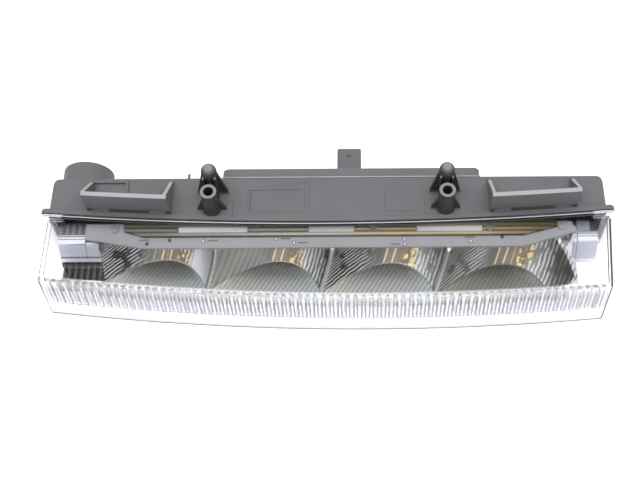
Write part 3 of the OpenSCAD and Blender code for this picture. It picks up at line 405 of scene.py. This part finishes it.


# The end trims: a top plate, a slope before it and a block at its foot, with their reflections, highlights and shade
# painted into the colour as pale, white and dark bands and steps. Sizes in mm
trim = {
    "streakPitch": 3.4, "streak": (-0.4, 0.9), "topStreaks": ("#676369", "#89858c"),
    "blockStreaks": ("#242622", "#54564f"),
    "rightSlope": "#cfd1db", "rightBlock": "#f2f2f8", "rightTop": "#8f979e", "rightOuter": "#4c4a52",
    "left": ("x", 1.0, -1.0), "outer": ("x", 142.2, 142.7), "block": ("z", 14.5, 14.2), "top": ("z", 24.5, 24.8),
    "front": ("y", -4.74, -4.95),
    # Painted light and shade up the left slope: the block, a white band, a thin dark line and the pale slope
    "slopeReach": (0.0, 28.0),
    "slope": [(0.5, "#ffffff"), (0.59, "#f4f4f8"), (0.605, "#5c6168"), (0.625, "#6c7178"), (0.64, "#d6d7e2"),
              (0.78, "#c9cad4"), (1.0, "#dcdce6")],
    # Painted light and shade: steps of grey, with dark lines between, from the front edge of the top plate towards
    # the back
    "stepReach": (-10.9, -3.9),
    "steps": [(0.36, "#dcdce6"), (0.38, "#74777d"), (0.44, "#8a8c94"), (0.47, "#d5d6de"), (0.6, "#d5d6de"),
              (0.63, "#5f6167"), (0.68, "#6a6c72"), (0.7, "#b9bac2"), (0.8, "#a9aab2"), (0.83, "#4b474c")],
}


def paintTrim(tree, place, tone):
    values = surfaceValues(tree, place)
    wave = addNode(tree, "ShaderNodeMath", {0: values["x"], 1: 2 * math.pi / trim["streakPitch"]},
                   operation="MULTIPLY")
    values["streak"] = addNode(tree, "ShaderNodeMath", {0: wave}, operation="SINE")
    topTone, blockTone = (paintLayers(tree, dark, values, [(light, ("streak", *trim["streak"]))])
                          for dark, light in (trim["topStreaks"], trim["blockStreaks"]))
    ramps = {}
    for name, axis, reach in (("slope", "z", "slopeReach"), ("steps", "y", "stepReach")):
        low, high = trim[reach]
        way = addNode(tree, "ShaderNodeMapRange", {"Value": values[axis], "From Min": low, "From Max": high})
        ramps[name] = addNode(tree, "ShaderNodeValToRGB", {"Fac": way}, stops=trim[name])
    left, block, top = trim["left"], trim["block"], trim["top"]
    return paintLayers(tree, trim["rightSlope"], values, [
        (ramps["slope"], left), (trim["rightBlock"], block), (blockTone, block, left),
        (trim["rightTop"], top), (trim["rightOuter"], top, trim["outer"]), (topTone, top, left),
        (ramps["steps"], top, trim["front"])])


boardScrews = {"onBoard": ("fromMiddle", 109.0, 111.0), "tone": "#a3a2a6"}  # the end screws sit on the pale board


def paintScrews(tree, place, tone):
    return paintLayers(tree, tone, surfaceValues(tree, place), [(boardScrews["tone"], boardScrews["onBoard"])])


# Painted light: the faces behind the clear rim at the two ends are painted pale, standing in for the light that the
# lens leads there. Sizes in mm
paintedEndLight = {"tone": "#f4f4f8", "ahead": (-0.2, -0.4), "inward": (-50.0, -70.0),
              "edges": [("fromMiddle", 144.5, 145.0), ("z", 33.0, 32.5), ("y", 12.5, 12.0), ("open", 0.0, 1.0)]}


def paintEnds(tree, place, tone):
    values = surfaceValues(tree, place)
    inward = addNode(tree, "ShaderNodeMath", {0: values["x"], 1: values["faceX"]}, operation="MULTIPLY")
    turned = [addNode(tree, "ShaderNodeMapRange", {"Value": value, "From Min": start, "From Max": full})
              for value, (start, full) in ((values["faceY"], paintedEndLight["ahead"]), (inward, paintedEndLight["inward"]))]
    values["open"] = addNode(tree, "ShaderNodeMath", {0: turned[0], 1: turned[1]}, operation="MAXIMUM")
    return paintLayers(tree, tone, values, [(paintedEndLight["tone"], *paintedEndLight["edges"])])


# Where the housing's grey changes: painted shade and painted highlights. Sizes in mm, and fromTower is the distance
# along the lamp to the nearer tower
housing = {
    "towerMiddle": 0.5, "towerReach": 63.2,
    "layers": [
        ("#383834", ("fromTower", 15.0, 14.5), ("z", 34.8, 35.4), ("faceZ", 0.8, 0.5)),  # painted shade on the towers' walls
        ("#9d9ca1", ("fromTower", 15.0, 14.5), ("z", 52.0, 52.5), ("faceZ", 0.8, 0.9)),  # painted highlight on the towers' up-facing rings
        ("#c9c8cd", ("fromTower", 15.5, 16.5), ("z", 36.3, 36.8), ("faceZ", 0.4, 0.6)),  # painted highlight on the up-facing tops of the brackets
        # A shaded line along the foot of each bracket
        ("#4c4d47", ("fromTower", 15.5, 16.5), ("z", 38.9, 38.6), ("z", 35.1, 35.3), ("faceY", -0.2, -0.4)),
    ],
}


def paintHousing(tree, place, tone):
    values = surfaceValues(tree, place)
    away = values["x"]
    for step in (housing["towerMiddle"], housing["towerReach"]):
        away = addNode(tree, "ShaderNodeMath", {0: away, 1: step}, operation="SUBTRACT")
        away = addNode(tree, "ShaderNodeMath", {0: away}, operation="ABSOLUTE")
    values["fromTower"] = away
    tone = paintLayers(tree, tone, values, housing["layers"])
    return paintEnds(tree, place, tone)


# The lens's front bows back towards the ends, more on the left, and leans. The light and shade that its flutes
# gather is painted as upright lavender loops with a round foot and a dot below each. Sizes in mm
lens = {
    "height": 33.0, "lean": 2.83, "bow": 2778, "skew": -0.0188, "front": (3.5, 3.2),
    "pitch": 4.2, "foot": 12.5, "loop": 1.15, "loopLine": (0.8, 0.3), "loopTop": (31.0, 26.0),
    "dotHeight": 3.4, "dotEdge": (0.75, 0.35), "clear": "#fdfdfe", "loopTone": "#9f9dab", "dotTone": "#a6a5aa",
    "rippleMm": 16.7, "rippleDetail": 1.0, "ripple": 0.1, "rippleDepth": 0.05, "ior": 1.3, "specular": 0.25,
    # Shares of the light that pass the flat walls straight on, and that the front and the thick foot throw back
    "straight": 0.92, "thrownByFront": 0.22, "thrownByFoot": 0.65, "glintRoughness": 0.12,
    "footEnds": ("fromMiddle", 143.0, 144.5), "footBack": ("y", 0.2, 1.2),
}


def frontY(x, z):
    # How far back the lens front stands at a place along the lamp, in mm
    return x * x / lens["bow"] + lens["skew"] * x - lens["lean"] * (lens["height"] - z) / lens["height"]


def lensMaterial():
    # Clear polycarbonate, moulded and polished: the flat walls pass light straight on, and the fluted front bends
    # it. Its real index is 1.585, drawn as 1.3 here so that what lies behind the flutes keeps its place
    material, tree, place = newMaterial("moulded_clear_polycarbonate")
    values = surfaceValues(tree, place)
    beside = addNode(tree, "ShaderNodeMath", {0: values["x"], 1: lens["pitch"] / 2, 2: -lens["pitch"] / 2},
                     operation="WRAP")
    below = addNode(tree, "ShaderNodeMath", {0: values["z"], 1: lens["foot"]}, operation="SUBTRACT")
    below = addNode(tree, "ShaderNodeMath", {0: below, 1: 0.0}, operation="MINIMUM")
    fromDot = addNode(tree, "ShaderNodeMath", {0: values["z"], 1: lens["dotHeight"]}, operation="SUBTRACT")
    for name, height in (("fromLoop", below), ("fromDot", fromDot)):
        square = addNode(tree, "ShaderNodeMath", {0: height, 1: height}, operation="MULTIPLY")
        square = addNode(tree, "ShaderNodeMath", {0: beside, 1: beside, 2: square}, operation="MULTIPLY_ADD")
        values[name] = addNode(tree, "ShaderNodeMath", {0: square}, operation="SQRT")
    fromLine = addNode(tree, "ShaderNodeMath", {0: values["fromLoop"], 1: lens["loop"]}, operation="SUBTRACT")
    values["fromLine"] = addNode(tree, "ShaderNodeMath", {0: fromLine}, operation="ABSOLUTE")
    # How deep a point lies behind the bowed front
    bow = addNode(tree, "ShaderNodeMath", {0: values["x"], 1: values["x"]}, operation="MULTIPLY")
    bow = addNode(tree, "ShaderNodeMath", {0: bow, 1: 1 / lens["bow"]}, operation="MULTIPLY")
    bow = addNode(tree, "ShaderNodeMath", {0: values["x"], 1: lens["skew"], 2: bow}, operation="MULTIPLY_ADD")
    depth = addNode(tree, "ShaderNodeMath", {0: values["y"], 1: centreY}, operation="ADD")
    values["depth"] = addNode(tree, "ShaderNodeMath", {0: depth, 1: bow}, operation="SUBTRACT")
    front = ("depth", *lens["front"])
    # Painted shade: lavender loops in the flutes, each with a round foot, and a dot below each
    tone = paintLayers(tree, lens["clear"], values, [
        (lens["loopTone"], ("fromLine", *lens["loopLine"]), ("z", *lens["loopTop"]), front),
        (lens["dotTone"], ("fromDot", *lens["dotEdge"]), front)])
    ripple = addNode(tree, "ShaderNodeTexNoise", {"Vector": place, "Scale": 1 / (lens["rippleMm"] * mm),
                                                  "Detail": lens["rippleDetail"]})
    bump = addNode(tree, "ShaderNodeBump", {"Height": ripple, "Strength": lens["ripple"],
                                            "Distance": lens["rippleDepth"] * mm})
    glass = addNode(tree, "ShaderNodeBsdfPrincipled", {
        "Base Color": tone, "Roughness": 0.0, "IOR": lens["ior"], "Transmission Weight": 1.0, "Normal": bump,
        "Specular IOR Level": lens["specular"]})
    through = addNode(tree, "ShaderNodeBsdfTransparent", {"Color": lens["clear"]})
    # Off the front most light goes straight on, and all of it does where it casts the shadow
    straight = addNode(tree, "ShaderNodeMapRange", {
        "Value": values["depth"], "From Min": lens["front"][0], "From Max": lens["front"][1],
        "To Min": lens["straight"], "To Max": 0.0})
    shadow = addNode(tree, "ShaderNodeLightPath").outputs["Is Shadow Ray"]
    straight = addNode(tree, "ShaderNodeMath", {0: straight, 1: shadow}, operation="MAXIMUM")
    mix = addNode(tree, "ShaderNodeMixShader", {"Fac": straight, 1: glass, 2: through})
    # The flutes and the thick foot at the two ends throw back a part of the white around the lamp
    thrown = 0.0
    for share, *limits in ((lens["thrownByFoot"], lens["footEnds"], lens["footBack"]),
                           (lens["thrownByFront"], front)):
        for name, start, full in limits:
            share = addNode(tree, "ShaderNodeMapRange", {
                "Value": values[name], "From Min": start, "From Max": full, "To Max": share})
        thrown = addNode(tree, "ShaderNodeMath", {0: share, 1: thrown}, operation="ADD")
    glint = addNode(tree, "ShaderNodeBsdfAnisotropic", {"Color": tone, "Roughness": lens["glintRoughness"]})
    mix = addNode(tree, "ShaderNodeMixShader", {"Fac": thrown, 1: mix, 2: glint})
    addNode(tree, "ShaderNodeOutputMaterial", {"Surface": mix})
    return material


# What each CAD piece is made of and how its surface was made, and which pieces it goes on
mouldedFinishes = {
    # ABS against a spark-eroded tool: an even grey with wide, soft highlights, with painted shade and highlights on
    # its towers and brackets and painted light at its two ends
    "moulded_abs": {"tones": ("#77767a", "#7f7e82"), "roughness": 0.55, "paint": paintHousing, "on": ["housing"]},
    # The same ABS from a finer tool: a shade lighter and a little glossier
    "fine_moulded_abs": {"tones": ("#7a797d", "#828185"), "roughness": 0.5, "on": ["rear_cover"]},
    # PBT from a smooth tool: tighter highlights along the edges of the socket
    "smooth_moulded_pbt": {"tones": ("#717074", "#79787c"), "roughness": 0.45, "on": ["connector_shell"]},
    # EPDM rubber, extruded: a dark matt line round the rim, painted pale with light at its two ends
    "extruded_epdm": {"tones": ("#2c2c2e", "#38383a"), "roughness": 0.6, "paint": paintEnds,
                      "on": ["lens_seal", "rear_cover_seal"]},
    # Glass-fibre board under pale printed solder mask: a flat grey with a low gloss
    "printed_grey_solder_mask": {"tones": ("#a9a9ac", "#b0b0b3"), "roughness": 0.45, "on": ["led_board"]},
    # Filled silicone, cast as a sheet: dark and dead matt
    "cast_grey_silicone": {"tones": ("#4a4c4c", "#565858"), "roughness": 0.8, "on": ["thermal_pad"]},
    # Silicone with a phosphor, cast smooth over the chip: a warm, slightly glossy yellow
    "cast_phosphor_silicone": {"tones": ("#e2b84a", "#f0cf6c"), "roughness": 0.25, "grainMm": 0.4,
                               "on": ["led_1", "led_2", "led_3", "led_4"]},
    # Glass-fibre board under curtain-coated solder mask: a deep green with some gloss
    "coated_green_solder_mask": {"tones": ("#2a5c3c", "#356e49"), "roughness": 0.35, "on": ["driver_board"]},
    # Epoxy moulded round the parts: a smooth black with small highlights
    "moulded_black_epoxy": {"tones": ("#1c1c1e", "#262628"), "roughness": 0.4,
                            "on": ["driver_inductor", "driver_chip", "driver_diodes"]},
    # Polyimide film, laminated over copper: a glossy amber
    "laminated_polyimide": {"tones": ("#a8742a", "#b88338"), "roughness": 0.3, "on": ["board_ribbon"]},
    # Silicone rubber, moulded: a brick red with a soft sheen
    "moulded_red_silicone": {"tones": ("#8e3f2c", "#9c4a36"), "roughness": 0.5, "on": ["connector_gasket"]},
    # PTFE film, stretched until it is porous: white and dead matt
    "stretched_ptfe_film": {"tones": ("#dcdcda", "#e8e8e6"), "roughness": 0.8, "on": ["vent_membrane"]},
    # Polypropylene, moulded: a dark grey with a waxy sheen
    "moulded_polypropylene": {"tones": ("#3a3a3d", "#444447"), "roughness": 0.55, "on": ["vent_cap"]},
}
metalFinishes = {
    # Aluminium laid on polycarbonate in a vacuum: a bright mirror, its strokes, reflections and shade painted into
    # the colour
    "vacuum_metallised_polycarbonate": {"roughness": 0.35, "paint": paintReflector, "on": ["reflector"]},
    # The same aluminium on satin ABS: pale slopes, their broad reflections and shade painted into the colour
    "satin_metallised_abs": {"roughness": 0.45, "paint": paintTrim, "on": ["end_trim_left", "end_trim_right"]},
    # Aluminium, drawn and anodised: dull metal with grooves along it, their shade painted in, from grey to brown
    "drawn_anodised_aluminium": {"roughness": 0.5, "paint": paintSink, "on": ["heat_sink"]},
    # Steel under a dull zinc plating: grey heads with hardly a highlight
    "dull_zinc_plated_steel": {"roughness": 0.5, "tones": ("#75756d", "#85857c"), "paint": paintScrews,
                               "on": ["board_screws"]},
    # Steel under a bright zinc plating: pale heads with a clear highlight
    "bright_zinc_plated_steel": {"roughness": 0.3, "tones": ("#8f8f92", "#a5a5a8"),
                                 "on": ["reflector_screws", "driver_screws", "rear_cover_screws"]},
    # Aluminium, deep drawn into cans: bright and plain
    "deep_drawn_aluminium": {"roughness": 0.3, "tones": ("#a2a4a8", "#b6b8bc"), "on": ["driver_capacitors"]},
    # Brass, stamped and thinly tinned: a pale yellow metal
    "stamped_tinned_brass": {"roughness": 0.25, "tones": ("#b9ab84", "#cbbd96"), "on": ["connector_pins"]},
}

finished = {}
for makeMaterial, finishes in ((mouldedMaterial, mouldedFinishes), (metalMaterial, metalFinishes)):
    for name, finish in finishes.items():
        finished[name] = makeMaterial(name, **{key: value for key, value in finish.items() if key != "on"})
        setMaterial(finished[name], finish["on"])
setMaterial(lensMaterial(), ["lens_cover"])
print("the CAD pieces have their materials")

# Test points on the light board: rings with bare middles, short bars beside some of them, and pads that show
# through the windows of the bar. Places and sizes in mm
boardMarks = {
    "top": 27.85, "sunk": 0.04, "thick": 0.06, "barDrop": 0.02, "middleRise": 0.03,
    "outer": 1.05, "inner": 0.67, "sides": 20, "barHalf": 0.28,
    "dark": [(-97.7, 35.3), (-85.6, 37.4), (94.1, 38.1)],
    "pale": [(-67.5, 36.8), (-28.2, 37.9), (-18.3, 35.3), (41.3, 37.4), (41.3, 34.1), (77.0, 35.7)],
    "bars": [(-99.3, 37.6, 5.2), (-62.4, 37.0, 5.6), (-23.0, 38.0, 5.0), (-13.6, 35.4, 4.8), (36.2, 34.2, 5.0),
             (76.6, 38.2, 5.6)],
    "pads": [(-81.2, -43.9), (-10.6, 14.1), (48.1, 83.6)], "padY": (41.5, 45.1),
    "finishes": {
        # Ink, screen printed: dark and nearly matt
        "screen_printed_ink": {"tones": ("#45454c", "#505058"), "roughness": 0.5, "grainMm": 0.4},
        # White enamel, screen printed: a clean white with some gloss
        "screen_printed_enamel": {"tones": ("#f1f1f5", "#fafafc"), "roughness": 0.3, "grainMm": 0.4}},
}


def addBlock(shape, corners, low, high, tone):
    # A flat closed plate over the given outline, running anticlockwise
    bottom = [shape.verts.new(lampPoint(x, y, low)) for x, y in corners]
    top = [shape.verts.new(lampPoint(x, y, high)) for x, y in corners]
    faces = [shape.faces.new(top), shape.faces.new(bottom[::-1])]
    for i in range(len(corners)):
        j = (i + 1) % len(corners)
        faces.append(shape.faces.new((bottom[i], bottom[j], top[j], top[i])))
    for face in faces:
        face.material_index = tone


def squareOutline(x0, x1, y0, y1):
    return [(x0, y0), (x1, y0), (x1, y1), (x0, y1)]


def roundOutline(x, y, radius, sides):
    return [(x + radius * math.cos(2 * math.pi * i / sides), y + radius * math.sin(2 * math.pi * i / sides))
            for i in range(sides)]


def addBoardMarks():
    marks = bmesh.new()
    low, high = boardMarks["top"] - boardMarks["sunk"], boardMarks["top"] + boardMarks["thick"]
    half, sides = boardMarks["barHalf"], boardMarks["sides"]
    for x, y in boardMarks["dark"] + boardMarks["pale"]:
        addBlock(marks, roundOutline(x, y, boardMarks["outer"], sides), low, high, 0)
    for x, y in boardMarks["pale"]:
        addBlock(marks, roundOutline(x, y, boardMarks["inner"], sides), low, high + boardMarks["middleRise"], 1)
    for x, y, length in boardMarks["bars"]:
        outline = squareOutline(x - length / 2, x + length / 2, y - half, y + half)
        addBlock(marks, outline, low, high - boardMarks["barDrop"], 0)
    for x0, x1 in boardMarks["pads"]:
        addBlock(marks, squareOutline(x0, x1, *boardMarks["padY"]), low, high, 1)
    materials = [mouldedMaterial(name, **finish) for name, finish in boardMarks["finishes"].items()]
    addPiece("board_marks", marks, materials)


addBoardMarks()
print("the board marks are on")

# Painted light and shade: beads along the moulded edges of the lens and its rim, where these gather light and shade
# as thin lines. Places and sizes in mm, and the last number of each line is its tone
edges = {
    "sides": 8, "rimRadius": 1875, "rimFront": 44.9, "lineHeight": 32.9, "lineEnd": 46,
    "foot": {"reach": (-151.9, 149.0), "ahead": 0.45, "height": 0.35, "radius": 0.3, "tone": 1, "points": 60},
    # Upright corners: where the line stands, where the front is measured, radius, tone
    "corners": [(-152.1, -152, 0.2, 1), (149.2, 149, 0.35, 2)], "cornerReach": (0.4, 32.8), "cornerAhead": 0.05,
    # Lines back along the ends: place at the back, lean, start, end, radius, tone
    "ends": [(-151.1, -0.0262, 11.4, 46, 0.2, 1), (-148.9, -0.0262, 13.5, 44, 0.2, 0),
             (152.4, -0.0786, 5.6, 46, 0.6, 2), (150.8, -0.0786, 7.4, 46, 0.3, 2)],
    # Lines along the rim: reach to both sides, distance before the rim, height, radius, tone
    "rims": [(151.5, 1.6, 35.0, 0.3, 3), (150.5, 2.6, 34.2, 0.35, 4)],
    "cornerPoints": 6, "endPoints": 8, "rimPoints": 60,
    # Painted light and shade: each bead is an opaque line in the tone of the light and the dark that a clear moulded
    # edge gathers from what stands round it
    "finishes": {
        "pale_edge_painted_light_and_shade": {"tones": ("#c3c3c7", "#cdcdd1"), "roughness": 0.3, "grainMm": 0.8},
        "grey_edge_painted_light_and_shade": {"tones": ("#a4a4a9", "#aeaeb3"), "roughness": 0.3, "grainMm": 0.8},
        "dim_edge_painted_shade": {"tones": ("#5c5c61", "#66666b"), "roughness": 0.3, "grainMm": 0.8},
        "bright_rim_painted_highlight": {"tones": ("#e4e4e8", "#eeeef2"), "roughness": 0.3, "grainMm": 0.8},
        "dark_rim_painted_shade": {"tones": ("#2e2e30", "#38383a"), "roughness": 0.3, "grainMm": 0.8}},
}


def addTube(shape, points, radius, tone):
    # A closed round bead along the points
    sides = edges["sides"]
    rings = []
    for i, point in enumerate(points):
        ahead = (points[min(i + 1, len(points) - 1)] - points[max(i - 1, 0)]).normalized()
        side = ahead.cross(Vector((0.31, 0.17, 0.93))).normalized()  # any direction that no bead runs along
        over = ahead.cross(side)
        rings.append([shape.verts.new(point + (side * math.cos(turn) + over * math.sin(turn)) * radius * mm)
                      for turn in (2 * math.pi * k / sides for k in range(sides))])
    faces = [shape.faces.new(rings[0]), shape.faces.new(rings[-1][::-1])]
    for first, second in zip(rings, rings[1:]):
        for k in range(sides):
            j = (k + 1) % sides
            faces.append(shape.faces.new((first[k], second[k], second[j], first[j])))
    for face in faces:
        face.material_index = tone
        face.smooth = True


def rimY(x):
    return edges["rimFront"] + edges["rimRadius"] - math.sqrt(edges["rimRadius"] ** 2 - x * x)


def spread(low, high, count):
    return [low + (high - low) * i / (count - 1) for i in range(count)]


def addEdgeBeads():
    beads = bmesh.new()
    foot, height, back = edges["foot"], edges["lineHeight"], edges["lineEnd"]
    addTube(beads, [lampPoint(x, frontY(x, 0) - foot["ahead"], foot["height"])
                    for x in spread(*foot["reach"], foot["points"])], foot["radius"], foot["tone"])
    for x, frontX, radius, tone in edges["corners"]:
        addTube(beads, [lampPoint(x, frontY(frontX, z) - edges["cornerAhead"], z)
                        for z in spread(*edges["cornerReach"], edges["cornerPoints"])], radius, tone)
    for x, lean, start, end, radius, tone in edges["ends"]:
        addTube(beads, [lampPoint(x + lean * (back - y), y, height)
                        for y in spread(start, end, edges["endPoints"])], radius, tone)
    for reach, ahead, rimHeight, radius, tone in edges["rims"]:
        addTube(beads, [lampPoint(x, rimY(x) - ahead, rimHeight)
                        for x in spread(-reach, reach, edges["rimPoints"])], radius, tone)
    materials = [mouldedMaterial(name, **finish) for name, finish in edges["finishes"].items()]
    addPiece("lens_edge_light_and_shade_beads", beads, materials)


# A painted highlight where the rear cover meets the roof, and painted shade along the outlines of the roof's shallow
# fields. Sizes in mm
roofLines = {
    "cover": {"reach": (-58.4, 83.6), "y": 73.3, "height": 33.45, "radius": 0.3, "points": 12},
    "top": 33.44, "deep": 0.1, "half": 0.14,
    "upright": [(-12.5, 52.5, 64.5), (-42.4, 51.5, 64.5), (-10.3, 50.8, 71.5), (31.1, 50.3, 66.5),
                (48.8, 50.8, 55.5)],
    "level": [(31.1, 48.8, 51.8), (-42.4, -12.5, 51.5), (-21.0, -10.3, 69.5)],
    "finishes": {
        # ABS edge, moulded round: a painted highlight, one pale line of light
        "moulded_abs_edge_painted_highlight": {"tones": ("#cfcfd3", "#d9d9dd"), "roughness": 0.4},
        # ABS step, moulded sharp: painted shade, a faint dark line
        "moulded_abs_step_painted_shade": {"tones": ("#5f5e62", "#68676b"), "roughness": 0.55}},
}


def addRoofLines():
    lines = bmesh.new()
    cover, half = roofLines["cover"], roofLines["half"]
    addTube(lines, [lampPoint(x, cover["y"], cover["height"]) for x in spread(*cover["reach"], cover["points"])],
            cover["radius"], 0)
    outlines = [squareOutline(x - half, x + half, y0, y1) for x, y0, y1 in roofLines["upright"]]
    outlines += [squareOutline(x0, x1, y - half, y + half) for x0, x1, y in roofLines["level"]]
    for outline in outlines:
        addBlock(lines, outline, roofLines["top"] - roofLines["deep"], roofLines["top"], 1)
    materials = [mouldedMaterial(name, **finish) for name, finish in roofLines["finishes"].items()]
    addPiece("roof_highlight_and_shade_lines", lines, materials)


# Pale slopes that close the gaps between the end trims and the reflector: outline from the side, and where each
# one starts and ends along the lamp. Sizes in mm
wings = {"outline": [(30.4, 12.1), (32.6, 12.1), (38.4, 24.9), (36.4, 24.9)],
         "spans": [(-131.7, -124.2), (133.2, 135.3)], "bevel": 0.3, "segments": 2}


def addTrimWings():
    wing = bmesh.new()
    for x0, x1 in wings["spans"]:
        left = [wing.verts.new(lampPoint(x0, y, z)) for y, z in wings["outline"]]
        right = [wing.verts.new(lampPoint(x1, y, z)) for y, z in wings["outline"]]
        wing.faces.new(left[::-1])
        wing.faces.new(right)
        for i in range(len(left)):
            j = (i + 1) % len(left)
            wing.faces.new((left[i], left[j], right[j], right[i]))
    bmesh.ops.recalc_face_normals(wing, faces=wing.faces)
    bmesh.ops.bevel(wing, geom=list(wing.edges), offset=wings["bevel"] * mm, segments=wings["segments"],
                    affect="EDGES")
    addPiece("trim_wings", wing, [finished["satin_metallised_abs"]])


addTrimWings()
addEdgeBeads()
addRoofLines()
print("the trim wings, the lens's edge lines and the roof lines are on")
